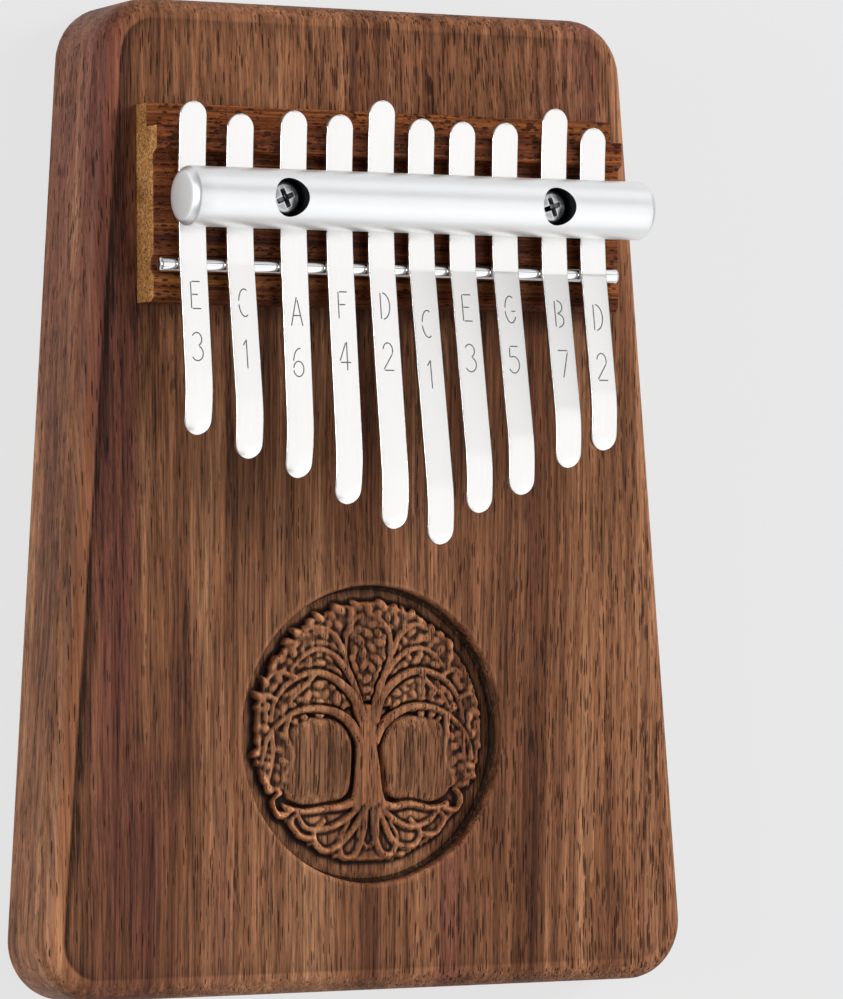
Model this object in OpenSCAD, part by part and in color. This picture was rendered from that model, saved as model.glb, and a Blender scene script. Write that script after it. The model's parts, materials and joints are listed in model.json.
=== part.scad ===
// Ten-tine thumb piano: a solid hardwood board with a bridge block glued on its
// face, a steel rod bridge, and a round pressure bar that two screws pull down
// on ten flat spring steel tines. Millimetres. The back lies on Z = 0, Y runs
// towards the tails of the tines, and the origin is the middle of the back.

/* [Board] */
// Length of the board
body_len = 150; // [140:1:180]
// Width of the board at the tail end of the tines
head_w = 90.5; // [89:0.5:110]
// Width of the board at the carved end
foot_w = 113.5; // [100:0.5:140]
// Thickness of the board at the tail end of the tines
head_t = 17; // [14.5:0.5:24]
// Thickness of the board at the carved end
foot_t = 13.4; // [10:0.2:20]
// Radius of the four corners in plan
corner_r = 9; // [6:0.5:12]
// Rounding of the edges of the face
face_round = 3; // [1:0.5:4]
// Rounding of the edges of the back
back_round = 1.5; // [0.5:0.5:3]

/* [Carved recess] */
// Diameter of the round recess
recess_d = 45.4; // [30:0.2:60]
// Depth of the recess
recess_depth = 3; // [1:0.5:6]
// Distance from the carved end of the board to the middle of the recess
recess_from_foot = 39; // [34:0.5:50]

/* [Bridge block] */
// Length of the block across the board
block_len = 81.2; // [79:0.2:88]
// Depth of the block along the tines
block_depth = 29.8; // [28:0.5:36]
// Sideways place of the block and the rod
block_x = 0.4; // [0:0.1:1]
// Distance from the tail end of the board to the block
block_from_head = 16.3; // [12:0.1:30]
// Height of the block's floor above the face
floor_h = 5.5; // [5.2:0.1:6]
// Height of the raised ridge that the tines rest on
ridge_h = 6.8; // [6.5:0.1:7.2]
// Width of the ridge along the tines
ridge_w = 3.5; // [2:0.1:5]
// Height of the low ledge behind the ridge
ledge_h = 3.4; // [1:0.1:5]
// Width of the ledge along the tines
ledge_w = 3.5; // [2:0.1:5]
// Slope between the ridge and the floor, and bevel of the front edge
block_bevel = 0.8; // [0.3:0.1:1.5]

/* [Rod bridge] */
// Diameter of the steel rod under the tines
rod_d = 2.4; // [2:0.1:2.6]
// Length of the rod
rod_len = 80; // [76:0.5:86]
// Bevel round the ends of the rod
rod_bevel = 0.3; // [0.1:0.1:0.6]
// Distance from the front of the block to the middle of the rod
rod_from_front = 5.6; // [4:0.1:8]
// Diameter of the cutter that makes the rod's groove
groove_d = 3; // [2.8:0.1:3.2]

/* [Pressure bar and screws] */
// Diameter of the pressure bar
bar_d = 9; // [8:0.5:11]
// Length of the pressure bar
bar_len = 80.4; // [78:0.5:88]
// Distance from the rod to the pressure bar
bar_from_rod = 9.8; // [8:0.1:11]
// Sideways place of the pressure bar
bar_x = 1.4; // [0:0.1:1.5]
// Bevel round the ends of the pressure bar
bar_bevel = 0.8; // [0.2:0.1:1.5]
// Distance between the two screws
screw_gap = 46.4; // [46:0.1:47]
// Sideways place of the pair of screws
screw_x = 0.6; // [0.3:0.1:0.9]
// Diameter of the screw's shank
shank_d = 2.9; // [2.5:0.1:3.2]
// Length of the screw under its head
screw_len = 21; // [18:0.5:22]
// Diameter of the screw's head
head_d = 5.2; // [4.6:0.1:6]
// Height of the screw's head
head_h = 1.9; // [1.4:0.1:2.2]
// Bevel round the top of the screw's head
head_bevel = 0.6; // [0.2:0.1:0.9]
// Depth of the top of the head below the top of the bar
head_sink = 2.2; // [1:0.1:2.4]
// Length of the screw's point
point_len = 2.6; // [1.5:0.1:4]
// Width of each slot of the screw's cross
slot_w = 0.9; // [0.5:0.1:1.2]
// Length of each slot of the screw's cross
slot_len = 3.2; // [2:0.1:3.4]
// Depth of the screw's cross
slot_depth = 1.3; // [0.6:0.1:1.3]
// Angle that the screws' crosses are left at
cross_turn = 20; // [0:5:85]

/* [Tines] */
// Width of a tine
tine_w = 4.5; // [3.5:0.1:4.8]
// Thickness of a tine
tine_t = 0.8; // [0.5:0.05:1]
// Pitch of the tines
tine_pitch = 7.3; // [6.8:0.1:7.6]
// Extra room between two tines where a screw passes
screw_room = 1.9; // [1.6:0.1:2.4]
// Sideways place of the row of tines
tine_x = 0.8; // [0.5:0.1:1]
// Length of the longest tine in front of the rod, before it is tuned by hand
longest_tongue = 41.8; // [38:0.2:46]
// How far behind the rod a tine still bends as it sounds
clamp_reach = 2.5; // [0:0.1:4]
// Length of the tip that turns down
tip_len = 9; // [5:0.5:10]
// Angle that the tip turns down through
tip_turn = 21; // [5:1:25]
// Radius that the clamped part of a tine is bowed to
bow_r = 150; // [120:5:300]

/* [Fits] */
// Room between a tine and what it rests on
rest_gap = 0.08; // [0.06:0.01:0.15]
// Room between a tine and the pressure bar
press_gap = 0.02; // [0.01:0.01:0.1]
// Width of the seam between the two parts of a tine
seam = 0.3; // [0.2:0.05:0.5]
// Room round a screw's shank
shank_gap = 0.05; // [0.02:0.01:0.1]
// Room round a screw's head
head_gap = 0.3; // [0.1:0.05:0.5]

/* [Hidden] */

// The ten tines from left to right. Notes are semitones above the lowest note.
notes = [16, 12, 9, 5, 2, 0, 4, 7, 11, 14];
// Length of each tine behind the ridge, as tuned by hand
tails = [3.6, 2.0, 2.8, 2.5, 4.9, 2.4, 2.2, 2.3, 4.8, 2.1];
// Length that tuning by hand adds to each tine in front of the rod
trims = [0, 0.2, 0, -0.2, 0.2, 0.3, 0.3, 0.8, 0.5, 0.3];
// Angle at which each tine rises in front of the rod
rises = [5.4, 7.0, 3.9, 5.1, 6.8, 8.8, 9.0, 9.4, 9.4, 8.4];
// Sideways offset of each tine from its even place, as set by hand
offsets = [-0.7, 0, -0.1, 0.5, 0.4, 0.1, 0, 0.3, -0.1, -0.4];
// The first tine on the right of each screw
right_of_screw = [2, 8];

middle_t = (head_t + foot_t) / 2;
tilt = atan((head_t - foot_t) / body_len);
side_slope = (foot_w - head_w) / 2 / body_len;
row_middle = (len(notes) - 1) / 2;
// How far cutters overshoot, facets of the tines' arcs, and the blanks that tines are cut from
cut = 1;
strip_fn = 720;
blank_h = 3 * ridge_h;
blank_w = 2 * tine_w;

recess_v = -body_len / 2 + recess_from_foot;
block_back_v = body_len / 2 - block_from_head;
block_front_v = block_back_v - block_depth;
ridge_back_v = block_back_v - ledge_w;
ridge_front_v = ridge_back_v - ridge_w;
rod_v = block_front_v + rod_from_front;
bar_v = rod_v + bar_from_rod;

// Middle of the bow of the clamped tines, above the bar, then the rod and the bar
bow_w = ridge_h + sqrt(pow(bow_r + rest_gap, 2) - pow(ridge_front_v - bar_v, 2));
rod_w = bow_w - sqrt(pow(bow_r + rest_gap + rod_d / 2, 2) - pow(bar_from_rod, 2));
bar_w = bow_w - bow_r + tine_t + press_gap + bar_d / 2;
seat_w = bar_w + bar_d / 2 - head_sink - head_h;
tip_r = tip_len / sin(tip_turn);

function half_width(y) = (head_w + foot_w) / 4 - side_slope * y;
function tine_shift(i) = i < right_of_screw[0] ? -1 : i < right_of_screw[1] ? 0 : 1;
function tine_place(i) = tine_x + (i - row_middle) * tine_pitch + tine_shift(i) * screw_room + offsets[i];
function tongue_len(i) = (longest_tongue + clamp_reach) * pow(2, -notes[i] / 24) - clamp_reach + trims[i];

// Puts its children on the sloping face: X across, Y along it, Z out of it
module on_face() {
    translate([0, 0, middle_t]) rotate([tilt, 0, 0]) children();
}

// A ring with a round edge, lying flat round Z
module round_ring(outer_r, edge_r) {
    rotate_extrude($fn = 48) translate([outer_r - edge_r, 0]) circle(edge_r, $fn = 32);
}

// A bar along X with bevelled ends, middle at the origin
module bevelled_bar(diameter, length, bevel) {
    r = diameter / 2;
    rotate([0, 90, 0]) rotate_extrude($fn = 96)
        polygon([[0, -length / 2], [r - bevel, -length / 2], [r, -length / 2 + bevel],
                 [r, length / 2 - bevel], [r - bevel, length / 2], [0, length / 2]]);
}

module board_blank() {
    inset_y = body_len / 2 - corner_r;
    hull() {
        for (side = [-1, 1], end = [-1, 1]) {
            y = end * inset_y;
            x = side * (half_width(y) - corner_r * sqrt(1 + pow(side_slope, 2)));
            translate([x, y, back_round]) round_ring(corner_r, back_round);
            on_face() translate([x, (y - face_round * sin(tilt)) / cos(tilt), -face_round])
                round_ring(corner_r, face_round);
        }
    }
}

// Puts its children on the face at each of the two screws
module at_screws() {
    for (side = [-1, 1]) on_face() translate([screw_x + side * screw_gap / 2, bar_v, 0]) children();
}

module board() {
    color("#6b4630") difference() {
        board_blank();
        on_face() translate([0, recess_v, -recess_depth])
            cylinder(d = recess_d, h = recess_depth + cut, $fn = 128);
        at_screws() translate([0, 0, seat_w - screw_len - shank_gap])
            cylinder(d = shank_d + 2 * shank_gap, h = screw_len, $fn = 48);
    }
}

module bridge_block() {
    color("#7a3f22") difference() {
        on_face() translate([block_x - block_len / 2, 0, 0]) rotate([90, 0, 90]) linear_extrude(block_len)
            polygon([[block_front_v, 0], [block_front_v, floor_h - block_bevel],
                     [block_front_v + block_bevel, floor_h],
                     [ridge_front_v - block_bevel, floor_h],
                     [ridge_front_v, ridge_h], [ridge_back_v, ridge_h],
                     [ridge_back_v, ledge_h], [block_back_v, ledge_h], [block_back_v, 0]]);
        on_face() translate([block_x, rod_v, rod_w - rod_d / 2 + groove_d / 2]) rotate([0, 90, 0])
            cylinder(d = groove_d, h = block_len + 2 * cut, center = true, $fn = 96);
        at_screws() translate([0, 0, -cut])
            cylinder(d = shank_d + 2 * shank_gap, h = ridge_h + 2 * cut, $fn = 48);
    }
}

module rod_bridge() {
    color("#d8dadd") on_face() translate([block_x, rod_v, rod_w]) bevelled_bar(rod_d, rod_len, rod_bevel);
}

module pressure_bar() {
    color("#c9ccd1") difference() {
        on_face() translate([bar_x, bar_v, bar_w]) bevelled_bar(bar_d, bar_len, bar_bevel);
        at_screws() translate([0, 0, bar_w - bar_d])
            cylinder(d = shank_d + 2 * shank_gap, h = 2 * bar_d, $fn = 48);
        at_screws() translate([0, 0, seat_w])
            cylinder(d = head_d + 2 * head_gap, h = bar_d, $fn = 64);
    }
}

// One pan head screw with a cross recess, pointing down, its seat at the origin
module screw() {
    difference() {
        rotate_extrude($fn = 64)
            polygon([[0, -screw_len], [shank_d / 2, -screw_len + point_len], [shank_d / 2, 0],
                     [head_d / 2, 0], [head_d / 2, head_h - head_bevel],
                     [head_d / 2 - head_bevel, head_h], [0, head_h]]);
        for (turn = [0, 90]) rotate([0, 0, turn + cross_turn])
            translate([0, 0, head_h - slot_depth / 2 + cut / 2])
                cube([slot_len, slot_w, slot_depth + cut], center = true);
    }
}

module screw_at(side) {
    color("#4b4d50") on_face() translate([screw_x + side * screw_gap / 2, bar_v, seat_w]) screw();
}

module screw_left() {
    screw_at(-1);
}

module screw_right() {
    screw_at(1);
}

// Plan of a strip that runs along Y from y_flat to a round end at y_round
module strip_plan(y_flat, y_round) {
    turn = y_round > y_flat ? 1 : -1;
    y_mid = y_round - turn * tine_w / 2;
    translate([-tine_w / 2, min(y_flat, y_mid)]) square([tine_w, abs(y_mid - y_flat)]);
    translate([0, y_mid]) circle(d = tine_w, $fn = 64);
}

// The clamped part of tine i: bowed, and resting on the ridge and the rod
module root_of(i) {
    color("#d9dadb") on_face() translate([tine_place(i), 0, 0]) intersection() {
        linear_extrude(blank_h) strip_plan(rod_v + seam / 2, ridge_back_v + tails[i]);
        translate([0, bar_v, bow_w]) rotate([0, 90, 0]) difference() {
            cylinder(r = bow_r, h = blank_w, center = true, $fn = strip_fn);
            cylinder(r = bow_r - tine_t, h = blank_w + 2 * cut, center = true, $fn = strip_fn);
        }
    }
}

// Side view of a tongue that points along -X, flat and then turned down at its tip
module tongue_side(length) {
    straight = length - tip_len;
    translate([-straight, 0]) square([straight + rod_d, tine_t]);
    intersection() {
        translate([-length - cut, -tip_len]) square([tip_len + cut, 2 * tip_len]);
        translate([-straight, tine_t - tip_r]) difference() {
            circle(tip_r, $fn = strip_fn);
            circle(tip_r - tine_t, $fn = strip_fn);
        }
    }
}

// The free part of tine i, which swings about the rod
module tongue_of(i) {
    length = tongue_len(i);
    color("#e3e4e5") difference() {
        on_face() translate([tine_place(i), rod_v, rod_w]) rotate([-rises[i], 0, 0]) intersection() {
            translate([0, 0, -tip_len]) linear_extrude(blank_h) strip_plan(rod_d, -length);
            translate([0, 0, rod_d / 2 + rest_gap]) rotate([90, 0, 90])
                linear_extrude(blank_w, center = true) tongue_side(length);
        }
        on_face() translate([tine_place(i) - blank_w / 2, rod_v - seam / 2, 0])
            cube([blank_w, tine_w, blank_h]);
    }
}

board();
bridge_block();
rod_bridge();
pressure_bar();
screw_left();
screw_right();
root_of(0);  // tine_1_root
root_of(1);  // tine_2_root
root_of(2);  // tine_3_root
root_of(3);  // tine_4_root
root_of(4);  // tine_5_root
root_of(5);  // tine_6_root
root_of(6);  // tine_7_root
root_of(7);  // tine_8_root
root_of(8);  // tine_9_root
root_of(9);  // tine_10_root
tongue_of(0);  // tine_1_tongue
tongue_of(1);  // tine_2_tongue
tongue_of(2);  // tine_3_tongue
tongue_of(3);  // tine_4_tongue
tongue_of(4);  // tine_5_tongue
tongue_of(5);  // tine_6_tongue
tongue_of(6);  // tine_7_tongue
tongue_of(7);  // tine_8_tongue
tongue_of(8);  // tine_9_tongue
tongue_of(9);  // tine_10_tongue
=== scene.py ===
"""Looks of a ten-tine thumb piano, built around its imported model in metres.

The board and its carving, the bridge block, the rod, the pressure bar, the two screws and the ten
tines each have a class that builds their meshes and dresses them. Sizes are in millimetres as on
the drawing and become metres where a mesh is made.
"""

from __future__ import annotations

import json
import logging
import math
from dataclasses import dataclass, field
from enum import Enum
from typing import Any, Callable, Sequence

import bmesh
import bpy
import numpy as np
from mathutils import Matrix, Vector

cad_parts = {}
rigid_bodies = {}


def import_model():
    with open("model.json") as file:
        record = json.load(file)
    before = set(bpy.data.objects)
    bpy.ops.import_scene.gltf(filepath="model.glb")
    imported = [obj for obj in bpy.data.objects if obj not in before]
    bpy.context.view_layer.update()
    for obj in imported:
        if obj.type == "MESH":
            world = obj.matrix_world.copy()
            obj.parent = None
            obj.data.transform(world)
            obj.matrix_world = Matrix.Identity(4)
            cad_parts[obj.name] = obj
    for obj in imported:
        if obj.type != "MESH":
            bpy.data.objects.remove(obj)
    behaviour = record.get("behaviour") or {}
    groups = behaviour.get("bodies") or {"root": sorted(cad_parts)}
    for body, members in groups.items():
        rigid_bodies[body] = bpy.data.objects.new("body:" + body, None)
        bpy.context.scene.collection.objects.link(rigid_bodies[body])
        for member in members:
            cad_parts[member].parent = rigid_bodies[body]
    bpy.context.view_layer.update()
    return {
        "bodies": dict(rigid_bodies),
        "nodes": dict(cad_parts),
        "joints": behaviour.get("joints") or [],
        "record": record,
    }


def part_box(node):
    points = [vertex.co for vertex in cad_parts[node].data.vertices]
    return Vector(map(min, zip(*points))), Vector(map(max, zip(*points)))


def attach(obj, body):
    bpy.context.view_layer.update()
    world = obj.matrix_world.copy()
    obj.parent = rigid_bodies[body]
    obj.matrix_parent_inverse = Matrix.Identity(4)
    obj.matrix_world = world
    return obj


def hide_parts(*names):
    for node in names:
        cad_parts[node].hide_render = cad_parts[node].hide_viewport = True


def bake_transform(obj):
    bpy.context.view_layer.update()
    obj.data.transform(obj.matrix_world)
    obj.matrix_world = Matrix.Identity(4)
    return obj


LOG = logging.getLogger("thumb_piano")
MM = 0.001
WELD_MM = 0.001
INSTRUMENT = "instrument"
Colour = tuple[float, float, float, float]


class Grain(Enum):
    """The way that a piece of wood's grain runs, as a turn about Z that brings it onto Y."""

    LENGTHWISE = 0.0
    CROSSWISE = math.pi / 2


# ---------------------------------------------------------------------------------------------
# Node trees
# ---------------------------------------------------------------------------------------------


class Graph:
    """A node tree that is being wired."""

    def __init__(self, tree: bpy.types.NodeTree) -> None:
        """Starts from an empty tree.

        Args:
            tree: a shader or geometry tree, whose nodes are removed.
        """
        tree.nodes.clear()
        self.tree = tree

    def node(
        self, kind: str, settings: dict[str, Any] | None = None, sockets: dict[Any, Any] | None = None
    ) -> bpy.types.Node:
        """Adds one node.

        Args:
            kind: the node's type.
            settings: its properties, set before its sockets; stops are a ramp's places and colours.
            sockets: values or links of its inputs, by name or number.

        Returns:
            The new node.
        """
        made = self.tree.nodes.new(kind)
        for key, value in (settings or {}).items():
            if key == "stops":
                self._set_stops(made.color_ramp, value)
            else:
                setattr(made, key, value)
        for key, value in (sockets or {}).items():
            self.feed(made.inputs[key], value)
        return made

    def feed(self, socket: bpy.types.NodeSocket, value: Any) -> None:
        """Links a value to a socket, or sets it where it is a plain number, vector or name.

        Args:
            socket: an input of a node.
            value: a wrapped value, a socket, or a plain number, vector or name.
        """
        source = value.socket if isinstance(value, Value) else value
        if isinstance(source, bpy.types.NodeSocket):
            self.tree.links.new(source, socket)
        else:
            socket.default_value = source

    @staticmethod
    def _set_stops(ramp: bpy.types.ColorRamp, stops: Sequence[tuple[float, Colour]]) -> None:
        """Gives a colour ramp its stops.

        Args:
            ramp: the ramp.
            stops: the place and the colour of each stop.
        """
        while len(ramp.elements) < len(stops):
            ramp.elements.new(1.0)
        for element, (place, colour) in zip(ramp.elements, stops):
            element.position = place
            element.color = colour

    def entry(self, name: str, kind: str) -> None:
        """Adds a named input to a geometry tree."""
        self.tree.interface.new_socket(name=name, in_out="INPUT", socket_type=kind)


class Value:
    """A number in a node tree, written in arithmetic with Python's own operators."""

    def __init__(self, graph: Graph, socket: bpy.types.NodeSocket) -> None:
        """Wraps a socket.

        Args:
            graph: the tree that the socket is in.
            socket: an output socket that holds a number.
        """
        self.graph = graph
        self.socket = socket

    def _with(self, operation: str, left: Any, right: Any) -> Value:
        """One Math node on two values."""
        made = self.graph.node("ShaderNodeMath", {"operation": operation}, {0: left, 1: right})
        return Value(self.graph, made.outputs[0])

    def __add__(self, other: Value | float) -> Value:
        """Sum."""
        return self._with("ADD", self, other)

    __radd__ = __add__

    def __mul__(self, other: Value | float) -> Value:
        """Product."""
        return self._with("MULTIPLY", self, other)

    __rmul__ = __mul__

    def __sub__(self, other: Value | float) -> Value:
        """Difference."""
        return self._with("SUBTRACT", self, other)

    def __rsub__(self, other: float) -> Value:
        """Difference from a plain number."""
        return self._with("SUBTRACT", other, self)

    def top(self, other: Value | float) -> Value:
        """The larger of two values."""
        return self._with("MAXIMUM", self, other)

    def band(self, low: Value | float, high: Value | float) -> Value:
        """Rises smoothly from 0 at low to 1 at high.

        Args:
            low: where the rise starts.
            high: where it ends.

        Returns:
            The mask.
        """
        made = self.graph.node(
            "ShaderNodeMapRange",
            {"interpolation_type": "SMOOTHSTEP"},
            {"Value": self, "From Min": low, "From Max": high},
        )
        return Value(self.graph, made.outputs[0])


class Surface:
    """A material that is being painted, with one Principled shader."""

    def __init__(self, name: str) -> None:
        """Makes the material and its shader.

        Args:
            name: the material's name.
        """
        self.material = bpy.data.materials.new(name)
        self.material.use_nodes = True
        self.graph = Graph(self.material.node_tree)
        self.shader = self.graph.node("ShaderNodeBsdfPrincipled")
        self.graph.node("ShaderNodeOutputMaterial", sockets={"Surface": self.shader.outputs[0]})

    def millimetres(self, grain: Grain = Grain.LENGTHWISE) -> bpy.types.NodeSocket:
        """Object coordinates in millimetres, turned so that the grain runs along Y."""
        place = self.graph.node("ShaderNodeTexCoord")
        return self.mapped(place.outputs["Object"], (1 / MM,) * 3, (0.0, 0.0, grain.value))

    def mapped(
        self, at: Any, scale: Sequence[float], turn: Sequence[float] = (0.0, 0.0, 0.0)
    ) -> bpy.types.NodeSocket:
        """Coordinates scaled along each axis, and turned.

        Args:
            at: the coordinates.
            scale: the factor along each axis.
            turn: the turn about each axis, in radians.

        Returns:
            The new coordinates.
        """
        made = self.graph.node(
            "ShaderNodeMapping", sockets={"Vector": at, "Scale": tuple(scale), "Rotation": tuple(turn)}
        )
        return made.outputs[0]

    def noise(self, at: Any, scale: Sequence[float], detail: float = 2.0, rough: float = 0.5) -> Value:
        """Smooth noise of about 0.5.

        Args:
            at: coordinates in millimetres.
            scale: waves in a millimetre along each axis.
            detail: how many finer layers are added.
            rough: the strength of the finer layers.

        Returns:
            The noise.
        """
        made = self.graph.node(
            "ShaderNodeTexNoise",
            {"noise_dimensions": "3D"},
            {"Vector": self.mapped(at, scale), "Scale": 1.0, "Detail": detail, "Roughness": rough},
        )
        return Value(self.graph, made.outputs[0])

    def shifted(self, at: Any, amount: Value) -> bpy.types.NodeSocket:
        """Coordinates moved across the grain by an amount in millimetres.

        Args:
            at: the coordinates.
            amount: how far they move, in millimetres.

        Returns:
            The moved coordinates.
        """
        offset = self.graph.node("ShaderNodeCombineXYZ", sockets={"X": amount, "Z": amount})
        made = self.graph.node(
            "ShaderNodeVectorMath", {"operation": "ADD"}, {0: at, 1: offset.outputs[0]}
        )
        return made.outputs[0]

    def mixed(self, share: Value | float, first: Any, second: Any) -> bpy.types.NodeSocket:
        """A mix of two colours."""
        made = self.graph.node("ShaderNodeMix", {"data_type": "RGBA"}, {0: share, 6: first, 7: second})
        return made.outputs[2]

    def shaded(self, colour: Any, amount: Value) -> bpy.types.NodeSocket:
        """A colour made lighter or darker by a factor.

        Args:
            colour: the colour.
            amount: the factor.

        Returns:
            The new colour.
        """
        plain = tuple(colour)[:3] if isinstance(colour, (tuple, list)) else colour
        made = self.graph.node("ShaderNodeVectorMath", {"operation": "SCALE"}, {0: plain, "Scale": amount})
        return made.outputs[0]

    def attribute(self, name: str) -> Value:
        """A number that the mesh holds at its points."""
        made = self.graph.node("ShaderNodeAttribute", {"attribute_name": name})
        return Value(self.graph, made.outputs["Fac"])

    def bumped(self, height: Value, depth_mm: float, strength: float) -> None:
        """Gives the surface fine relief of a depth in millimetres.

        Args:
            height: the relief.
            depth_mm: its depth, in millimetres.
            strength: how strongly it shows.
        """
        made = self.graph.node(
            "ShaderNodeBump", sockets={"Height": height, "Distance": depth_mm * MM, "Strength": strength}
        )
        self.set("Normal", made.outputs[0])

    def set(self, socket: str, value: Any) -> None:
        """Sets or links one socket of the shader."""
        self.graph.feed(self.shader.inputs[socket], value)


# ---------------------------------------------------------------------------------------------
# Finishes
# ---------------------------------------------------------------------------------------------


@dataclass(frozen=True)
class Wood:
    """An oiled open-pored wood."""

    name: str
    dark: Colour
    middle: Colour
    pale: Colour
    blush: Colour
    pore_and_groove_shade: Colour
    grain: Grain = Grain.LENGTHWISE
    band_mm: float = 11.0
    line_mm: float = 1.25
    pore_mm: float = 0.34
    pore_long_mm: float = 3.6
    pore_share: float = 0.4
    small_pores: float = 0.6
    wander_mm: float = 7.0
    roughness: float = 0.5
    # How strongly the carving's high and low points are painted lighter and darker: painted highlight and
    # painted shade of the relief.
    carved: float = 0.0

    def material(self) -> bpy.types.Material:
        """Paints bands, lines, fibres and pores that run with the grain.

        Returns:
            The material.
        """
        surface = Surface(self.name)
        at = surface.millimetres(self.grain)
        drift = surface.noise(at, (0.02, 0.007, 0.02)) - 0.5
        bent = surface.shifted(at, drift * self.wander_mm)
        bands = surface.noise(bent, (1 / self.band_mm, 0.0035, 1 / self.band_mm), 3.0, 0.6)
        lines = surface.noise(bent, (1 / self.line_mm, 0.011, 1 / self.line_mm), 4.0, 0.65)
        fibres = surface.noise(bent, (2.8, 0.07, 2.8), 4.0, 0.75)
        cloud = surface.noise(at, (0.03, 0.014, 0.03), 2.0)
        large = self._pores(surface, bent, cloud, 1.0)
        small = self._pores(surface, bent, cloud, self.small_pores)
        pores = large.top(small * 0.6)
        ramp = surface.graph.node(
            "ShaderNodeValToRGB",
            {"stops": [(0.34, self.dark), (0.5, self.middle), (0.68, self.pale)]},
            {"Fac": bands * 0.62 + lines * 0.38},
        )
        flushed = surface.mixed(
            surface.noise(bent, (0.06, 0.004, 0.06), 3.0).band(0.52, 0.68) * 0.7, ramp.outputs[0], self.blush
        )
        # The point values read here make the wood lighter and darker: a little lighter on the board's back
        # edge and sides, painted highlights and painted shade along its face edge and in its recess, and
        # painted light on the carving. The crest values paint the carving lighter on proud points and darker
        # on low ones: painted highlight and painted shade.
        worn = surface.attribute("worn")
        crest = surface.attribute("crest")
        light = 1.3 * lines + 3.8 * fibres + 0.9 * cloud + 0.6 * worn - 2.0
        toned = surface.shaded(flushed, (light + crest * self.carved).top(0.12))
        # Painted shade: the carving's grooves are mixed toward the darkest tone.
        sunk = (0.0 - crest).band(-0.02, 0.16)
        surface.set("Base Color", surface.mixed((pores * 0.8).top(sunk * 0.9), toned, self.pore_and_groove_shade))
        surface.set("Roughness", self.roughness + 0.12 * fibres + 0.22 * pores - 0.06 * worn)
        surface.set("Specular IOR Level", 0.16)
        surface.bumped(0.5 * fibres + 0.35 * lines - 0.9 * pores, 0.07, 0.55)
        return surface.material

    def _pores(self, surface: Surface, at: Any, cloud: Value, share: float) -> Value:
        """Short dark dashes along the grain, closer together where the cloud is high.

        Args:
            surface: the surface that is being painted.
            at: coordinates in millimetres with the grain along Y.
            cloud: where pores are more common.
            share: the dashes' size as a share of the wood's largest.

        Returns:
            The dashes' mask.
        """
        across, along = self.pore_mm * share, self.pore_long_mm * share
        size = (1 / across, 1 / along, 1 / across)
        cells = surface.graph.node(
            "ShaderNodeTexVoronoi", {"feature": "F1"}, {"Vector": surface.mapped(at, size), "Scale": 1.0}
        )
        parts = surface.graph.node("ShaderNodeSeparateColor", sockets={0: cells.outputs["Color"]})
        chance = Value(surface.graph, parts.outputs[0])
        reach = (chance + cloud * 0.9 - 0.95) * self.pore_share * 2.2
        distance = Value(surface.graph, cells.outputs["Distance"])
        return (reach.top(0.0) - distance + 0.06).band(0.0, 0.1)


@dataclass(frozen=True)
class Metal:
    """A bare or plated metal."""

    name: str
    colour: Colour
    roughness: float
    uneven: float = 0.05
    brush: tuple[float, float, float] = (0.6, 0.6, 0.6)
    bump_mm: float = 0.004
    bump: float = 0.25
    rub_and_highlight_colour: Colour | None = None

    def material(self) -> bpy.types.Material:
        """Paints fine brushing and faint unevenness.

        Returns:
            The material.
        """
        surface = Surface(self.name)
        at = surface.millimetres()
        fine = surface.noise(at, self.brush, 4.0, 0.65)
        smear = surface.noise(at, (0.12, 0.05, 0.12), 2.0)
        base: Any = surface.shaded(self.colour, 0.93 + 0.07 * fine + 0.07 * smear)
        # Bright metal where the point values are high: rubbing, and painted highlight on the screw heads.
        if self.rub_and_highlight_colour is not None:
            base = surface.mixed(surface.attribute("worn"), base, self.rub_and_highlight_colour)
        surface.set("Base Color", base)
        surface.set("Metallic", 1.0)
        surface.set("Roughness", self.roughness + self.uneven * (fine + smear - 1.0))
        surface.bumped(fine, self.bump_mm, self.bump)
        return surface.material


@dataclass(frozen=True)
class Mark:
    """The dark bottom of a stamped line."""

    name: str
    colour: Colour
    roughness: float = 0.6

    def material(self) -> bpy.types.Material:
        """Paints a dull dark line, uneven along its length.

        Returns:
            The material.
        """
        surface = Surface(self.name)
        uneven = surface.noise(surface.millimetres(), (1.4, 1.4, 1.4), 3.0)
        surface.set("Base Color", surface.shaded(self.colour, 0.5 + uneven))
        surface.set("Roughness", self.roughness + 0.2 * uneven)
        return surface.material


WALNUT = Wood(
    "oiled_walnut",
    dark=(0.064, 0.021, 0.009, 1.0),
    middle=(0.168, 0.068, 0.031, 1.0),
    pale=(0.300, 0.145, 0.072, 1.0),
    blush=(0.086, 0.023, 0.019, 1.0),
    pore_and_groove_shade=(0.010, 0.003, 0.002, 1.0),
    carved=4.2,
)
REDWOOD = Wood(
    "red_brown_hardwood",
    dark=(0.050, 0.009, 0.003, 1.0),
    middle=(0.140, 0.035, 0.009, 1.0),
    pale=(0.320, 0.115, 0.028, 1.0),
    blush=(0.070, 0.012, 0.004, 1.0),
    pore_and_groove_shade=(0.014, 0.003, 0.002, 1.0),
    grain=Grain.CROSSWISE,
    band_mm=4.0,
    line_mm=0.55,
    pore_mm=0.42,
    pore_long_mm=1.1,
    pore_share=0.62,
    wander_mm=3.0,
    roughness=0.45,
)
END_GRAIN = Wood(
    "hardwood_end_grain",
    dark=(0.210, 0.090, 0.026, 1.0),
    middle=(0.330, 0.155, 0.048, 1.0),
    pale=(0.470, 0.250, 0.092, 1.0),
    blush=(0.260, 0.110, 0.036, 1.0),
    pore_and_groove_shade=(0.060, 0.022, 0.008, 1.0),
    grain=Grain.CROSSWISE,
    band_mm=6.0,
    line_mm=0.5,
    pore_mm=0.42,
    pore_long_mm=0.6,
    pore_share=0.42,
    roughness=0.55,
)
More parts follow.
